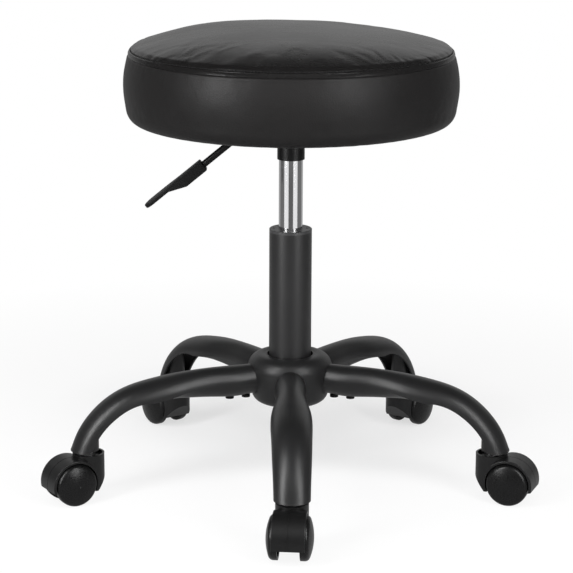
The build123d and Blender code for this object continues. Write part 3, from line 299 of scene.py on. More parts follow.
# Half outline of the top panel, from the crown's middle out to the seam
crown_r = np.linspace(0.0, CROWN_REACH, CROWN_POINTS)
crown_drop = CROWN_RADIUS - np.sqrt(CROWN_RADIUS**2 - crown_r**2)
crown_line = np.stack([crown_r, CROWN_TOP - crown_drop], 1)
crown_heading = (math.sqrt(CROWN_RADIUS**2 - CROWN_REACH**2), -CROWN_REACH)
shoulder_line, shoulder_heading = tangent_arc(crown_line[-1], crown_heading, CROWN_EDGE, CROWN_POINTS)
edge_line, _ = tangent_arc(CROWN_EDGE, shoulder_heading, SEAM, EDGE_POINTS)
top_line = np.concatenate([crown_line, shoulder_line[1:], edge_line[1:]])
top_length = total_length(top_line)
stitch_place = top_length - STITCH_FROM_SEAM

# Half outline of the side band, from the seam down and in under the board
side_line, side_heading = three_point_arc(SEAM, BAND_WIDEST, BAND_END, BAND_POINTS)
heel_line, _ = tangent_arc(BAND_END, side_heading, HEEL_END, EDGE_POINTS)
band_line = np.concatenate([side_line, heel_line[1:], [(LIP_RADIUS, HEEL_END[1])]])
band_length = total_length(band_line)
heel_place = total_length(side_line)
skin_line = np.concatenate([top_line, band_line[1:]])


# Shapes round the ring

angles = np.linspace(0.0, 2 * math.pi, SEGMENTS, endpoint=False)


def bump(x, centre, width):
    return np.exp(-(((x - centre) / width) ** 2))


def swell(x, form):
    centre, width, height = form
    return height * bump(x, centre, width)


def smooth(x, low, high):
    t = np.clip((x - low) / (high - low), 0.0, 1.0)
    return t * t * (3 - 2 * t)


def ring_distance(centre, radius):
    """Signed distance round the ring from an angle, in millimetres."""
    return (np.mod(angles[None, :] - centre + math.pi, 2 * math.pi) - math.pi) * radius


def waves(seed, orders, size):
    """Slow irregular wave round the ring."""
    rng = random.Random(seed)
    total = np.zeros(SEGMENTS)
    for order in orders:
        total += rng.uniform(*WAVE_SHARE) * np.cos(order * angles + rng.uniform(0, 2 * math.pi))
    return size * total / math.sqrt(len(orders))


def press_folds(push, rng, folds, inward, radius, rise):
    """Press random folds that run in from the seam into push, the lift at each place and angle."""
    number, widths, reaches, depths, leans = folds
    for _ in range(number):
        centre = rng.uniform(0, 2 * math.pi)
        width = rng.uniform(*widths)
        reach = rng.uniform(*reaches)
        depth = rng.uniform(*depths)
        lean = rng.uniform(*leans)
        across = ring_distance(centre, radius) - lean * inward
        push -= depth * np.exp(-((across / width) ** 2)) * np.exp(-np.maximum(inward, 0) / reach) * rise


def every_angle(values):
    """The same values at each angle of the ring."""
    return np.repeat(np.array(values)[:, None], SEGMENTS, 1)


def ring_points(ring_r, ring_z):
    """Points in metres, from the radius and height of each ring at each angle."""
    return np.stack([ring_r * np.cos(angles), ring_r * np.sin(angles), ring_z], 2).reshape(-1, 3) * MM


def revolve_faces(rings, closed=False, segments=SEGMENTS):
    """Quads between neighbouring rings of points, and from the last ring to the first if closed."""
    faces = []
    pairs = [(k, k + 1) for k in range(rings - 1)]
    if closed:
        pairs.append((rings - 1, 0))
    for a, b in pairs:
        for s in range(segments):
            t = (s + 1) % segments
            faces.append((a * segments + s, b * segments + s, b * segments + t, a * segments + t))
    return faces


def pole_faces(rings, segments=SEGMENTS):
    """Triangles that close the first and the last ring with the two poles after all the rings."""
    faces = []
    pole = rings * segments
    last = pole - segments
    for s in range(segments):
        t = (s + 1) % segments
        faces.append((pole, s, t))
        faces.append((pole + 1, last + t, last + s))
    return faces


def mesh_object(name, vertices, faces, material):
    mesh = bpy.data.meshes.new(name)
    mesh.from_pydata([tuple(v) for v in vertices], [], faces)
    mesh.update()
    mesh.polygons.foreach_set("use_smooth", [True] * len(mesh.polygons))
    mesh.materials.append(material)
    made = bpy.data.objects.new(name, mesh)
    scene.collection.objects.link(made)
    return made


# Shader nodes

NOISE_RANGE = (0.3, 0.7)


def material(name):
    made = bpy.data.materials.new(name)
    made.use_nodes = True
    tree = made.node_tree
    tree.nodes.clear()
    out = tree.nodes.new("ShaderNodeOutputMaterial")
    shader = tree.nodes.new("ShaderNodeBsdfPrincipled")
    tree.links.new(shader.outputs["BSDF"], out.inputs["Surface"])
    return made, tree, shader


def node(tree, kind, **values):
    made = tree.nodes.new(kind)
    for key, value in values.items():
        if key in made.inputs:
            made.inputs[key].default_value = value
        else:
            setattr(made, key, value)
    return made


def place(tree, scale=(1, 1, 1)):
    coordinates = tree.nodes.new("ShaderNodeTexCoord")
    mapping = tree.nodes.new("ShaderNodeMapping")
    mapping.inputs["Scale"].default_value = scale
    tree.links.new(coordinates.outputs["Object"], mapping.inputs["Vector"])
    return mapping.outputs["Vector"]


def noise(tree, vector, scale, detail=3.0, rough=0.5):
    made = node(tree, "ShaderNodeTexNoise", Scale=scale, Detail=detail, Roughness=rough)
    tree.links.new(vector, made.inputs["Vector"])
    return made.outputs["Fac"]


def spread(tree, value, low, high, out_low, out_high):
    made = node(tree, "ShaderNodeMapRange")
    made.inputs["From Min"].default_value = low
    made.inputs["From Max"].default_value = high
    made.inputs["To Min"].default_value = out_low
    made.inputs["To Max"].default_value = out_high
    tree.links.new(value, made.inputs["Value"])
    return made.outputs["Result"]


def add(tree, a, b, weight=1.0):
    made = node(tree, "ShaderNodeMath", operation="MULTIPLY_ADD")
    tree.links.new(b, made.inputs[0])
    made.inputs[1].default_value = weight
    tree.links.new(a, made.inputs[2])
    return made.outputs["Value"]


def times(tree, a, b):
    made = node(tree, "ShaderNodeMath", operation="MULTIPLY")
    tree.links.new(a, made.inputs[0])
    tree.links.new(b, made.inputs[1])
    return made.outputs["Value"]


def blend_values(tree, share, low, high):
    """low where share is 0 and high where it is 1; each is a number or a socket."""
    made = node(tree, "ShaderNodeMix", data_type="FLOAT")
    for index, value in ((2, low), (3, high)):
        if isinstance(value, float):
            made.inputs[index].default_value = value
        else:
            tree.links.new(value, made.inputs[index])
    tree.links.new(share, made.inputs["Factor"])
    return made.outputs[0]


def tinted(tree, shader, value, dark, light, low=NOISE_RANGE[0], high=NOISE_RANGE[1]):
    """Base colour that goes from dark to light as value goes from low to high."""
    made = node(tree, "ShaderNodeMix", data_type="RGBA")
    made.inputs[6].default_value = (*dark, 1)
    made.inputs[7].default_value = (*light, 1)
    tree.links.new(spread(tree, value, low, high, 0.0, 1.0), made.inputs["Factor"])
    tree.links.new(made.outputs[2], shader.inputs["Base Color"])


def roughened(tree, shader, value, smoothest, roughest, low=NOISE_RANGE[0], high=NOISE_RANGE[1]):
    """Roughness that goes from smoothest to roughest as value goes from low to high."""
    tree.links.new(spread(tree, value, low, high, smoothest, roughest), shader.inputs["Roughness"])


def bumped(tree, shader, height, distance, strength=1.0):
    made = node(tree, "ShaderNodeBump", Strength=strength, Distance=distance)
    tree.links.new(height, made.inputs["Height"])
    tree.links.new(made.outputs["Normal"], shader.inputs["Normal"])


# Materials


def leather(name, dark, light, rough, streaks, specular):
    """Imitation leather: fine cells, slow changes of tone, drawn streaks of gloss."""
    made, tree, shader = material(name)
    where = place(tree)
    cells = node(tree, "ShaderNodeTexVoronoi", Scale=620.0, Randomness=0.95, feature="SMOOTH_F1")
    cells.inputs["Smoothness"].default_value = 0.55
    tree.links.new(where, cells.inputs["Vector"])
    fine = noise(tree, where, scale=1500.0, detail=2.0)
    cloud = noise(tree, where, scale=9.0, detail=4.0, rough=0.55)
    drawn = noise(tree, place(tree, (18, 150, 60)), scale=1.0, detail=4.0, rough=0.6)
    tinted(tree, shader, cloud, dark, light)
    gloss = add(tree, cloud, drawn, streaks)
    roughened(tree, shader, gloss, rough - 0.05, rough + 0.07, high=NOISE_RANGE[1] + streaks)
    grain = add(tree, cells.outputs["Distance"], fine, weight=0.35)
    bumped(tree, shader, grain, distance=0.00016, strength=0.5)
    shader.inputs["Specular IOR Level"].default_value = specular
    return made


def coated(name, dark, light, rough, grain, depth, specular=0.5):
    """Painted or moulded surface: fine grain, slow changes of tone and gloss."""
    made, tree, shader = material(name)
    where = place(tree)
    cloud = noise(tree, where, scale=14.0, detail=4.0, rough=0.6)
    pores = noise(tree, where, scale=grain, detail=2.0, rough=0.55)
    specks = noise(tree, where, scale=grain * 0.4, detail=3.0, rough=0.6)
    tinted(tree, shader, cloud, dark, light)
    roughened(tree, shader, specks, rough - 0.06, rough + 0.06)
    bumped(tree, shader, pores, depth, strength=0.6)
    shader.inputs["Specular IOR Level"].default_value = specular
    return made


def metal(name, dark, light, rough, stretch, depth):
    """Bare or plated metal with fine drawn lines."""
    made, tree, shader = material(name)
    drawn = noise(tree, place(tree, stretch), scale=1.0, detail=4.0, rough=0.6)
    cloud = noise(tree, place(tree), scale=25.0, detail=3.0, rough=0.5)
    tinted(tree, shader, cloud, dark, light)
    roughened(tree, shader, drawn, rough * 0.7, rough * 1.35)
    bumped(tree, shader, drawn, depth, strength=0.4)
    shader.inputs["Metallic"].default_value = 1.0
    return made


def felted(name, dark, light):
    """Thin non-woven cloth: matted fibres and a faint pressed grid."""
    made, tree, shader = material(name)
    fibres = noise(tree, place(tree, (900, 260, 600)), scale=1.0, detail=4.0, rough=0.7)
    crossing = noise(tree, place(tree, (240, 950, 600)), scale=1.0, detail=4.0, rough=0.7)
    dots = node(tree, "ShaderNodeTexVoronoi", Scale=420.0, Randomness=0.2)
    tree.links.new(place(tree), dots.inputs["Vector"])
    mat = add(tree, fibres, crossing)
    tinted(tree, shader, mat, dark, light, low=0.7, high=1.3)
    bumped(tree, shader, add(tree, mat, dots.outputs["Distance"], weight=0.8), distance=0.0003, strength=0.6)
    shader.inputs["Roughness"].default_value = 0.9
    shader.inputs["Specular IOR Level"].default_value = 0.25
    return made


def wood(name, dark, light):
    """Plywood: long grain in thin layers."""
    made, tree, shader = material(name)
    rings = noise(tree, place(tree, (9, 130, 700)), scale=1.0, detail=5.0, rough=0.6)
    tinted(tree, shader, rings, dark, light)
    bumped(tree, shader, rings, distance=0.0003, strength=0.5)
    shader.inputs["Roughness"].default_value = 0.7
    return made


# The top and the side band are one leather; the band's tones are painted darker than the top's, painted shade
# for the seat's side.
top_leather = leather(
    "top_leather", (0.0105, 0.0099, 0.0099), (0.0150, 0.0142, 0.0142),
    rough=0.26, streaks=0.5, specular=0.18,
)
side_leather_painted_shade = leather(
    "side_leather_painted_shade", (0.0088, 0.0083, 0.0083), (0.0120, 0.0114, 0.0114),
    rough=0.45, streaks=0.2, specular=0.18,
)
thread = coated(
    "thread", (0.006, 0.006, 0.006), (0.011, 0.011, 0.011),
    rough=0.55, grain=6000.0, depth=0.0001, specular=0.3,
)
leg_coat = coated(
    "leg_coat", (0.0075, 0.0075, 0.0077), (0.0105, 0.0105, 0.0108),
    rough=0.37, grain=1900.0, depth=0.00012, specular=0.42,
)
hub_coat = coated(
    "hub_coat", (0.0075, 0.0075, 0.0077), (0.0105, 0.0105, 0.0108),
    rough=0.40, grain=1900.0, depth=0.00012, specular=0.36,
)
tube_coat = coated(
    "tube_coat", (0.0110, 0.0109, 0.0112), (0.0145, 0.0143, 0.0147),
    rough=0.36, grain=2600.0, depth=0.00006, specular=0.45,
)
black_paint = coated(
    "black_paint", (0.0026, 0.0026, 0.0027), (0.0042, 0.0042, 0.0043),
    rough=0.38, grain=2200.0, depth=0.00006, specular=0.2,
)
black_nylon = coated(
    "black_nylon", (0.0040, 0.0040, 0.0041), (0.0065, 0.0065, 0.0066),
    rough=0.34, grain=1600.0, depth=0.00005, specular=0.35,
)
wheel_nylon = coated(
    "wheel_nylon", (0.0030, 0.0030, 0.0031), (0.0045, 0.0045, 0.0046),
    rough=0.30, grain=1600.0, depth=0.00004, specular=0.28,
)
paddle_nylon = coated(
    "paddle_nylon", (0.0036, 0.0036, 0.0037), (0.0056, 0.0056, 0.0057),
    rough=0.5, grain=1600.0, depth=0.00005, specular=0.15,
)
bush_acetal = coated(
    "bush_acetal", (0.030, 0.030, 0.031), (0.048, 0.048, 0.050),
    rough=0.4, grain=2200.0, depth=0.00008,
)
seal_plastic = coated(
    "seal_plastic", (0.62, 0.60, 0.55), (0.72, 0.70, 0.64),
    rough=0.45, grain=1500.0, depth=0.00006,
)
black_rubber = coated(
    "black_rubber", (0.014, 0.014, 0.014), (0.022, 0.022, 0.022),
    rough=0.7, grain=1500.0, depth=0.0001, specular=0.35,
)
chrome = metal(
    "chrome", (0.72, 0.72, 0.73), (0.78, 0.78, 0.79),
    rough=0.08, stretch=(900, 900, 6), depth=0.00001,
)
plated_steel = metal(
    "plated_steel", (0.46, 0.46, 0.47), (0.56, 0.56, 0.56),
    rough=0.32, stretch=(700, 700, 700), depth=0.00003,
)
ground_steel = metal(
    "ground_steel", (0.42, 0.42, 0.43), (0.50, 0.50, 0.51),
    rough=0.22, stretch=(500, 500, 2500), depth=0.00002,
)
turned_aluminium = metal(
    "turned_aluminium", (0.58, 0.58, 0.59), (0.68, 0.68, 0.69),
    rough=0.3, stretch=(400, 400, 2500), depth=0.00003,
)
dust_fabric = felted("dust_fabric", (0.010, 0.010, 0.010), (0.022, 0.022, 0.022))
plywood = wood("plywood", (0.36, 0.22, 0.11), (0.62, 0.45, 0.27))

finish_of = {
    "seat_board": plywood,
    "cover_staples": plated_steel,
    "t_nuts": plated_steel,
    "plate_bolts": plated_steel,
    "lever_pivot_pin": plated_steel,
    "leg_screws": black_paint,
    "caster_stems": plated_steel,
    "stem_rings": plated_steel,
    "rod_clip": plated_steel,
    "seat_plate": black_paint,
    "lever_housing": black_paint,
    "taper_socket": black_paint,
    "lever_rod": black_paint,
    "lever_paddle": paddle_nylon,
    "stem_sleeves": black_nylon,
    "gas_cylinder": chrome,
    "rod_guide": seal_plastic,
    "release_pin": ground_steel,
    "piston_rod": ground_steel,
    "bearing_upper_race": ground_steel,
    "bearing_lower_race": ground_steel,
    "bearing_balls": ground_steel,
    "piston": turned_aluminium,
    "bump_stop": black_rubber,
    "column_tube": tube_coat,
    "column_bush": bush_acetal,
    "hub": hub_coat,
}
for number in range(1, 6):
    finish_of[f"leg_{number}"] = leg_coat
    finish_of[f"caster_hood_{number}"] = black_nylon
    finish_of[f"caster_axle_{number}"] = plated_steel
    finish_of[f"wheel_left_{number}"] = wheel_nylon
    finish_of[f"wheel_right_{number}"] = wheel_nylon
for name, finish in finish_of.items():
    for entry in nodes_of[name].material_slots:
        entry.material = finish


# Cover as cloth


def around(radial, level, turns):
    """A radial and a level amount at each place, turned to every angle, as vectors."""
    high = np.repeat(level[:, None], len(turns), 1)
    return np.stack([radial[:, None] * np.cos(turns), radial[:, None] * np.sin(turns), high], 2)


def set_cloth(net, held):
    """Cloth under pressure, with the held points sewn down."""
    sewn = net.vertex_groups.new(name="sewn")
    sewn.add(held, 1.0, "REPLACE")
    cloth = net.modifiers.new("cloth", "CLOTH")
    cloth.settings.quality = CLOTH_QUALITY
    cloth.settings.mass = CLOTH_MASS
    cloth.settings.tension_stiffness = CLOTH_STIFFNESS
    cloth.settings.compression_stiffness = CLOTH_STIFFNESS
    cloth.settings.shear_stiffness = CLOTH_SHEAR
    cloth.settings.bending_stiffness = CLOTH_BENDING
    cloth.settings.shrink_min = -CLOTH_EASE
    cloth.settings.use_pressure = True
    cloth.settings.uniform_pressure_force = CLOTH_PRESSURE
    cloth.settings.vertex_group_mass = sewn.name
    cloth.settings.effector_weights.gravity = 0.0
    cloth.collision_settings.use_collision = False
    cloth.point_cache.frame_start = 1
    cloth.point_cache.frame_end = CLOTH_FRAMES


def simulate_cover():
    """Places along the outline, and how far the cover lifts there at each angle, in millimetres."""
    top_places = np.linspace(CLOTH_STEP, top_length, round(top_length / CLOTH_STEP))
    side_places = top_length + np.linspace(0.0, band_length, round(band_length / CLOTH_STEP))[1:]
    places = np.concatenate([top_places, side_places])
    turns = np.linspace(0.0, 2 * math.pi, CLOTH_SEGMENTS, endpoint=False)
    line, normal = resample(skin_line, places)
    out = around(normal[:, 0], normal[:, 1], turns)
    rings = around(line[:, 0], line[:, 1], turns)
    rng = np.random.default_rng(CLOTH_SEED)
    start = rings + out * rng.uniform(-CLOTH_START, CLOTH_START, out.shape[:2])[:, :, None]
    poles = [(0, 0, CROWN_TOP), (0, 0, HEEL_END[1])]
    vertices = np.concatenate([start.reshape(-1, 3), poles]) * MM
    faces = revolve_faces(len(places), segments=CLOTH_SEGMENTS) + pole_faces(len(places), CLOTH_SEGMENTS)
    net = mesh_object("cover_net", vertices, faces, side_leather_painted_shade)
    at_seam = np.abs(places - top_length) < SEWN_WIDTH
    under_board = places > top_length + heel_place + CLOTH_STEP
    held = np.repeat(at_seam | under_board, CLOTH_SEGMENTS).nonzero()[0].tolist()
    low_pole = len(vertices) - 1
    set_cloth(net, held + [low_pole])
    for count in range(1, CLOTH_FRAMES + 1):
        scene.frame_set(count)
    swollen = net.evaluated_get(bpy.context.evaluated_depsgraph_get()).data
    moved = np.empty(len(vertices) * 3)
    swollen.vertices.foreach_get("co", moved)
    moved = moved.reshape(-1, 3)[: -len(poles)].reshape(rings.shape) / MM
    lift = ((moved - rings) * out).sum(2)
    scene.frame_set(1)
    bpy.data.objects.remove(net)
    lift -= lift.mean(axis=1, keepdims=True)
    lift *= smooth(places, *CLOTH_MIDDLE)[:, None]
    return places, np.clip(lift, -CLOTH_CAP, CLOTH_CAP)


def cover_lift(places):
    """Simulated lift of the cover at places along the outline, for every angle of the fine mesh."""
    turns = np.linspace(0.0, 2 * math.pi, CLOTH_SEGMENTS, endpoint=False)
    fine = np.stack([np.interp(angles, turns, row, period=2 * math.pi) for row in cloth_lift])
    lift = np.stack([np.interp(places, cloth_places, fine[:, s]) for s in range(SEGMENTS)], 1)
    for _ in range(CLOTH_SMOOTHING):
        lift = (np.roll(lift, 1, 1) + 2 * lift + np.roll(lift, -1, 1)) / 4
    return lift


cloth_places, cloth_lift = simulate_cover()


# Top panel and filling as one closed cushion


def top_lift(places, radial, rng):
    """Lift of the top panel over its plain outline: seam, folds, waves, filling and creases."""
    inward = (stitch_place - places)[:, None]
    from_seam = (top_length - places)[:, None]
    push = np.zeros(radial.shape)
    push -= swell(inward, STITCH_GROOVE)
    push += swell(from_seam, SEAM_ROLL)
    push -= swell(inward, STITCH_DIP)
    press_folds(push, rng, TOP_FOLDS, inward, TOP_FOLD_RADIUS, smooth(inward, *TOP_FOLD_RISE))
    press_folds(push, rng, LONG_FOLDS, inward, TOP_FOLD_RADIUS, smooth(inward, *LONG_FOLD_RISE))
    off_middle = smooth(places[:, None], *TOP_WAVE_MIDDLE)
    push += waves(*TOP_WAVES)[None, :] * smooth(inward, *TOP_WAVE_RISE) * off_middle
    push += cover_lift(places)
    for bulge_x, bulge_y, reach, height in BULGES:
        x, y = radial * np.cos(angles) - bulge_x, radial * np.sin(angles) - bulge_y
        push += height * np.exp(-(x**2 + y**2) / reach**2) * smooth(inward, *BULGE_RISE)
    for azimuth, from_middle, heading, reach, width, depth in CREASES:
        a, h = math.radians(azimuth), math.radians(heading)
        x = radial * np.cos(angles) - from_middle * math.cos(a)
        y = radial * np.sin(angles) - from_middle * math.sin(a)
        along = x * math.cos(h) + y * math.sin(h)
        across = y * math.cos(h) - x * math.sin(h)
        crease = CREASE_LIP * bump(across, width, width) - bump(across, 0.0, CREASE_CORE * width)
        push += depth * crease * bump(along, 0.0, reach / 2) * smooth(inward, *CREASE_RISE)
    return push


def make_cushion_top(rng):
    places = np.concatenate(
        [
            np.linspace(CROWN_FIRST_RING, stitch_place - RIM_ZONE, CROWN_RINGS, endpoint=False),
            np.linspace(stitch_place - RIM_ZONE, stitch_place - STITCH_ZONE, RIM_RINGS, endpoint=False),
            np.linspace(stitch_place - STITCH_ZONE, top_length, STITCH_RINGS),
        ]
    )
    line, normal = resample(top_line, places)
    radial = every_angle(line[:, 0])
    push = top_lift(places, radial, rng)
    top_r = radial + push * every_angle(normal[:, 0])
    top_z = every_angle(line[:, 1]) + push * every_angle(normal[:, 1])
    underside = BOARD_TOP + BOARD_GAP
    tuck = [(SEAM[0] + r, SEAM[1] + z) for r, z in TOP_TUCK]
    wall_line, _ = resample(band_line, np.array(FILLING_PLACES))
    wall = [(r - COVER_THICKNESS - FOAM_GAP, z) for r, z in wall_line]
    below = [(BOARD_RADIUS, underside), (BOARD_RADIUS / 2, underside)]
    hidden = np.array(tuck + wall + below)
    ring_r = np.concatenate([top_r, every_angle(hidden[:, 0])])
    ring_z = np.concatenate([top_z, every_angle(hidden[:, 1])])
    poles = [[0, 0, float(top_z[0].mean()) * MM], [0, 0, underside * MM]]
    vertices = np.concatenate([ring_points(ring_r, ring_z), poles])
    faces = revolve_faces(len(ring_r)) + pole_faces(len(ring_r))
    return mesh_object("cushion_top", vertices, faces, top_leather)


fold_rng = random.Random(FOLD_SEED)
cushion_top = make_cushion_top(fold_rng)
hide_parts("seat_top_panel", "seat_foam")
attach(cushion_top, "seat")


# Side band, turned in at the seam and under the board, with a closing seam at the back


def band_lift(places, rng):
    """Lift of the side band over its plain outline: seam, folds, pleats, waves and closing seam."""
    below_seam = places[:, None]
    past_heel = below_seam - heel_place
    push = np.zeros((len(places), SEGMENTS))
    push -= swell(below_seam, BAND_SEAM_GROOVE)
    push += swell(below_seam, BAND_SEAM_ROLL)
    press_folds(push, rng, BAND_FOLDS, below_seam, BAND_FOLD_RADIUS, 1.0)
    pleats = waves(*PLEATS)[None, :] - PLEAT_SINK
    push += pleats * smooth(past_heel, *HEEL_TURN) * smooth(past_heel, *PLEAT_RISE)
    push += waves(*BAND_WAVES)[None, :] * np.sin(np.clip(below_seam / heel_place, 0, 1) * math.pi)
    push += cover_lift(top_length + places)
    push += swell(past_heel, HEEL_SWELL)
    from_closing = ring_distance(math.pi / 2, CLOSING_RADIUS)
    push -= swell(from_closing, CLOSING_GROOVE)
    push += swell(from_closing, CLOSING_ROLL) + swell(-from_closing, CLOSING_ROLL)
    return push


def make_cushion_band(rng):
    places = np.concatenate(
        [
            np.linspace(0.0, BAND_SEAM_ZONE, BAND_SEAM_RINGS, endpoint=False),
            np.linspace(BAND_SEAM_ZONE, band_length, BAND_RINGS),
        ]
    )
    line, normal = resample(band_line, places)
    radial, level = every_angle(line[:, 0]), every_angle(line[:, 1])
    out_r, out_z = every_angle(normal[:, 0]), every_angle(normal[:, 1])
    push = band_lift(places, rng)
    tuck = np.array([(SEAM[0] + r, SEAM[1] + z) for r, z in BAND_TUCK])
    kept = len(places) - SEAM_RINGS_LEFT_OUT
    inner_r = (radial - COVER_THICKNESS * out_r)[::-1][:kept]
    inner_z = (level - COVER_THICKNESS * out_z)[::-1][:kept]
    ring_r = np.concatenate([every_angle(tuck[:, 0]), radial + push * out_r, inner_r])
    ring_z = np.concatenate([every_angle(tuck[:, 1]), level + push * out_z, inner_z])
    faces = revolve_faces(len(ring_r), closed=True)
    return mesh_object("cushion_band", ring_points(ring_r, ring_z), faces, side_leather_painted_shade)


cushion_band = make_cushion_band(fold_rng)
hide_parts("seat_side_band")
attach(cushion_band, "seat")


# Topstitching along the seam's fold


def make_topstitch():
    lines, normals = resample(top_line, np.array([stitch_place]))
    normal_r, normal_z = normals[0]
    stitch_r = lines[0, 0] - STITCH_SINK * normal_r
    stitch_z = lines[0, 1] - STITCH_SINK * normal_z
    stitch_count = round(2 * math.pi * stitch_r / STITCH_PITCH)
    vertices, faces = [], []
    for count in range(stitch_count):
        middle = 2 * math.pi * count / stitch_count
        first = len(vertices)
        for along, share in STITCH_PROFILE:
            a = middle + along * STITCH_LENGTH / stitch_r
            sink = -STITCH_END_SINK * (2 * along) ** 4
            for k in range(STITCH_SIDES):
                turn = 2 * math.pi * k / STITCH_SIDES
                r = stitch_r + normal_r * sink + STITCH_RADIUS * share * math.cos(turn)
                z = stitch_z + normal_z * sink + STITCH_RADIUS * share * math.sin(turn)
                vertices.append((r * math.cos(a) * MM, r * math.sin(a) * MM, z * MM))
        rings = [first + ring * STITCH_SIDES for ring in range(len(STITCH_PROFILE))]
        for a, b in zip(rings, rings[1:]):
            for k in range(STITCH_SIDES):
                j = (k + 1) % STITCH_SIDES
                faces.append((a + k, b + k, b + j, a + j))
        faces.append(tuple(rings[0] + k for k in range(STITCH_SIDES)))
        faces.append(tuple(rings[-1] + k for k in reversed(range(STITCH_SIDES))))
    return mesh_object("seat_topstitch", vertices, faces, thread)


topstitch = make_topstitch()
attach(topstitch, "seat")


# Dust cover, stretched under the board and stapled round its hem


def dust_sag(ring_r, turns, x, y):
    """How far the cloth hangs below the board: slack in the middle, drawn up at each staple."""
    outside = np.maximum(np.abs(x), np.abs(y)) - PLATE_HALF
    slack = smooth(outside, *DUST_SAG_FROM_PLATE) * smooth(STAPLE_RADIUS - ring_r, *DUST_SAG_FROM_STAPLES)
    between = 0.5 - 0.5 * np.cos(STAPLE_COUNT * turns)
    drawn = np.cos(STAPLE_COUNT * turns) * smooth(ring_r, *DUST_PULL_RISE) * slack
    return DUST_SAG * slack + between * swell(STAPLE_RADIUS - ring_r, DUST_SCALLOP) + DUST_PULL * drawn


def make_dust_sheet():
    turns = np.linspace(0.0, 2 * math.pi, DUST_SEGMENTS, endpoint=False)
    hem_start = DUST_RADIUS - DUST_HEM
    ring_r = np.concatenate(
        [
            np.linspace(DUST_FIRST_RING, DUST_PLATE_ZONE, DUST_PLATE_RINGS, endpoint=False),
            np.linspace(DUST_PLATE_ZONE, hem_start, DUST_RINGS),
            DUST_HEM_RINGS,
            [DUST_RADIUS],
        ]
    )[:, None]
    x, y = ring_r * np.cos(turns), ring_r * np.sin(turns)
    in_hem = ring_r > hem_start
    hang = np.where(in_hem, DUST_HEM_THICKNESS, DUST_THICKNESS + DUST_GAP)
    low = DUST_TOP - hang - dust_sag(ring_r, turns, x, y)
    highest = DUST_TOP - DUST_TOUCH
    high = np.minimum(np.where(in_hem, highest, low + DUST_THICKNESS), highest)
    rings = np.concatenate([np.stack([x, y, low], 2), np.stack([x, y, high], 2)[::-1]])
    poles = [[0, 0, float(low[0].mean())], [0, 0, float(high[0].mean())]]
    vertices = np.concatenate([rings.reshape(-1, 3), poles]) * MM
    faces = revolve_faces(len(rings), segments=DUST_SEGMENTS) + pole_faces(len(rings), DUST_SEGMENTS)
    return mesh_object("dust_sheet", vertices, [face[::-1] for face in faces], dust_fabric)


def make_bolt_holes():
    """Plugs in the places of the plate's bolts."""
    plugs = bmesh.new()
    for side_x in (-1, 1):
        for side_y in (-1, 1):
            bolt = Vector((side_x * BOLT_SPACING / 2, side_y * BOLT_SPACING / 2, DUST_TOP)) * MM
            bmesh.ops.create_cone(
                plugs,
                cap_ends=True,
                segments=BOLT_HOLE_SIDES,
                radius1=BOLT_HOLE_RADIUS * MM,
                radius2=BOLT_HOLE_RADIUS * MM,
                depth=BOLT_HOLE_DEPTH * MM,
                matrix=Matrix.Translation(bolt),
            )
    mesh = bpy.data.meshes.new("bolt_holes")
    plugs.to_mesh(mesh)
    plugs.free()
    made = bpy.data.objects.new("bolt_holes", mesh)
    scene.collection.objects.link(made)
    return made


def pierce(sheet, plugs):
    """Cut the plugs out of the sheet, and remove them."""
    cut = sheet.modifiers.new("bolt_holes", "BOOLEAN")
    cut.operation = "DIFFERENCE"
    cut.solver = "EXACT"
    cut.object = plugs
    pierced = sheet.evaluated_get(bpy.context.evaluated_depsgraph_get())
    mesh = bpy.data.meshes.new_from_object(pierced)
    sheet.modifiers.clear()
    sheet.data = mesh
    bpy.data.objects.remove(plugs)


dust_sheet = make_dust_sheet()
pierce(dust_sheet, make_bolt_holes())
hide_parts("dust_cover")
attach(dust_sheet, "seat")


# Floor and room


def seen_rays(tree):
    """Two shares that are 1 for rays that show the surface: reflections counted, and left out."""
    rays = tree.nodes.new("ShaderNodeLightPath")
    clear = node(tree, "ShaderNodeMath", operation="MAXIMUM")
    tree.links.new(rays.outputs["Is Camera Ray"], clear.inputs[0])
    tree.links.new(rays.outputs["Is Transmission Ray"], clear.inputs[1])
    seen = node(tree, "ShaderNodeMath", operation="MAXIMUM")
    tree.links.new(clear.outputs["Value"], seen.inputs[0])
    tree.links.new(rays.outputs["Is Glossy Ray"], seen.inputs[1])
    return seen.outputs["Value"], clear.outputs["Value"]


def split_axes(tree, coordinate):
    """Vector of a kind of coordinate, and the sockets of its three axes."""
    coordinates = tree.nodes.new("ShaderNodeTexCoord")
    split = tree.nodes.new("ShaderNodeSeparateXYZ")
    tree.links.new(coordinates.outputs[coordinate], split.inputs["Vector"])
    return coordinates.outputs[coordinate], split.outputs


def glowing(name):
    made = bpy.data.materials.new(name)
    made.use_nodes = True
    tree = made.node_tree
    tree.nodes.clear()
    out = tree.nodes.new("ShaderNodeOutputMaterial")
    glow = tree.nodes.new("ShaderNodeEmission")
    tree.links.new(glow.outputs["Emission"], out.inputs["Surface"])
    return made, tree, glow, out


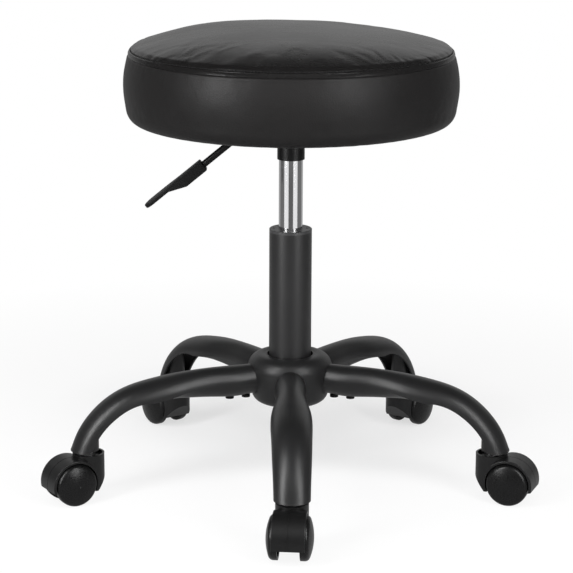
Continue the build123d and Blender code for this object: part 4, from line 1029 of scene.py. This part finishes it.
def floor_material():
    """Pale floor that takes shadows, with painted shade round the shade place, and whiter where it is seen
    far from the stool.
    """
    made, tree, glow, out = glowing("floor_look")
    pale = node(tree, "ShaderNodeBsdfDiffuse", Color=FLOOR_COLOUR)
    where, axes = split_axes(tree, "Object")
    distance = node(tree, "ShaderNodeVectorMath", operation="DISTANCE")
    tree.links.new(where, distance.inputs[0])
    distance.inputs[1].default_value = FLOOR_SHADE_PLACE
    from_shade = distance.outputs["Value"]
    # Less white round the shade place: painted shade there
    near = spread(tree, from_shade, *FLOOR_SHADE_FADE, FLOOR_SHADE_WHITE, FLOOR_NEAR_WHITE)
    white = add(tree, near, spread(tree, from_shade, *FLOOR_FADE, 0.0, 1.0 - FLOOR_NEAR_WHITE))
    seen, clear = seen_rays(tree)
    in_front = spread(tree, axes["Y"], *FLOOR_REFLECTED_FRONT, 1.0, 0.0)
    far_off = spread(tree, from_shade, *FLOOR_REFLECTED_FADE, 0.0, 1.0)
    mirrored = blend_values(tree, times(tree, in_front, far_off), FLOOR_REFLECTED, 1.0)
    tree.links.new(blend_values(tree, clear, mirrored, 1.0), glow.inputs["Strength"])
    mix = tree.nodes.new("ShaderNodeMixShader")
    tree.links.new(times(tree, seen, white), mix.inputs["Fac"])
    tree.links.new(pale.outputs["BSDF"], mix.inputs[1])
    tree.links.new(glow.outputs["Emission"], mix.inputs[2])
    tree.links.new(mix.outputs["Shader"], out.inputs["Surface"])
    return made


def make_world():
    """White where the camera sees it, a graded backdrop in reflections, and an even light elsewhere."""
    world = bpy.data.worlds.new("studio")
    world.use_nodes = True
    tree = world.node_tree
    tree.nodes.clear()
    out = tree.nodes.new("ShaderNodeOutputWorld")
    room = node(tree, "ShaderNodeBackground", Color=(1, 1, 1, 1))
    _, axes = split_axes(tree, "Generated")
    behind = spread(tree, axes["Y"], *BACKDROP_TURN, BACKDROP_FRONT, BACKDROP_BEHIND)
    rising = spread(tree, axes["Z"], *BACKDROP_RISE, BACKDROP_LOW, 1.0)
    above_it = spread(tree, axes["Z"], *BACKDROP_EDGE, 0.0, 1.0)
    backdrop = blend_values(tree, above_it, times(tree, behind, rising), BACKDROP_ABOVE)
    seen, clear = seen_rays(tree)
    reflected = blend_values(tree, seen, AMBIENT, backdrop)
    tree.links.new(blend_values(tree, clear, reflected, 1.0), room.inputs["Strength"])
    tree.links.new(room.outputs["Background"], out.inputs["Surface"])
    return world


corners = [(x * FLOOR_HALF, y * FLOOR_HALF, 0) for x, y in ((-1, -1), (1, -1), (1, 1), (-1, 1))]
floor = mesh_object("floor", corners, [(0, 1, 2, 3)], floor_material())
scene.world = make_world()


# Lights


def softbox(name, place_at, aim, width, height, radiance, reflects=True, spared=None):
    data = bpy.data.lights.new(name, "AREA")
    data.shape = "RECTANGLE"
    data.size = width
    data.size_y = height
    data.energy = radiance * math.pi * width * height
    made = bpy.data.objects.new(name, data)
    made.location = place_at
    way = Vector(aim) - Vector(place_at)
    made.rotation_euler = way.to_track_quat("-Z", "Y").to_euler()
    made.visible_camera = False
    made.visible_glossy = reflects
    if spared:
        made.light_linking.receiver_collection = spared
    scene.collection.objects.link(made)


def spared_by_light(name, piece):
    """Group of one piece that a light given this group leaves unlit."""
    made = bpy.data.collections.new(name)
    made.objects.link(piece)
    made.collection_objects[0].light_linking.link_state = "EXCLUDE"
    return made


def strip(name, x, y, width, radiance):
    """Tall narrow light in three lengths: the low one spares the seat's side, the middle one its top."""
    low_length = (STRIP_FOOT, STRIP_GLARE[0], spared_side)
    middle_length = (*STRIP_GLARE, spared_top)
    high_length = (STRIP_GLARE[1], STRIP_HEAD, None)
    for count, (low, high, spared) in enumerate((low_length, middle_length, high_length), start=1):
        middle = (low + high) / 2
        softbox(f"{name}_{count}", (x, y, middle), (0, 0, middle), width, high - low, radiance, spared=spared)


def flag(name, azimuth, width, strength):
    """Grey card that stands round the stool, where only reflections show it."""
    a = math.radians(azimuth)
    middle = Vector((math.sin(a), -math.cos(a), 0)) * FLAG_DISTANCE
    side = Vector((math.cos(a), math.sin(a), 0)) * width / 2
    foot = Vector((0, 0, FLAG_FOOT))
    head = Vector((0, 0, FLAG_HEIGHT))
    look, tree, glow, _ = glowing(name + "_look")
    _, axes = split_axes(tree, "Object")
    tree.links.new(spread(tree, axes["Z"], *FLAG_FADE, *strength), glow.inputs["Strength"])
    outline = [middle - side + foot, middle + side + foot, middle + side + head, middle - side + head]
    made = mesh_object(name, outline, [(0, 1, 2, 3)], look)
    made.visible_camera = False
    made.visible_diffuse = False
    made.visible_transmission = False
    made.visible_shadow = False


spared_top = spared_by_light("spared_top", cushion_top)
spared_side = spared_by_light("spared_side", cushion_band)
strip("left_strip", *LEFT_STRIP)
strip("right_strip", *RIGHT_STRIP)
softbox("front_top", *FRONT_TOP, reflects=False)
softbox("overhead", *OVERHEAD, reflects=False)
flag("front_flag", *FRONT_FLAG)
flag("left_flag", *LEFT_FLAG)
flag("right_flag", *RIGHT_FLAG)

# Camera
lens = bpy.data.cameras.new("camera")
lens.sensor_width = SENSOR_WIDTH
lens.lens = FOCAL_PIXELS / FRAME_PIXELS * SENSOR_WIDTH
lens.shift_x = -CAMERA_SHIFT_PIXELS / FRAME_PIXELS
camera = bpy.data.objects.new("camera", lens)
turned_by = Matrix.Rotation(CAMERA_YAW, 4, "Z")
pitched = Matrix.Rotation(math.pi / 2 - CAMERA_PITCH, 4, "X")
rolled = Matrix.Rotation(CAMERA_ROLL, 4, "Z")
camera.matrix_world = turned_by @ Matrix.Translation(CAMERA_PLACE) @ pitched @ rolled
scene.collection.objects.link(camera)
scene.camera = camera
scene.view_settings.view_transform = "Standard"
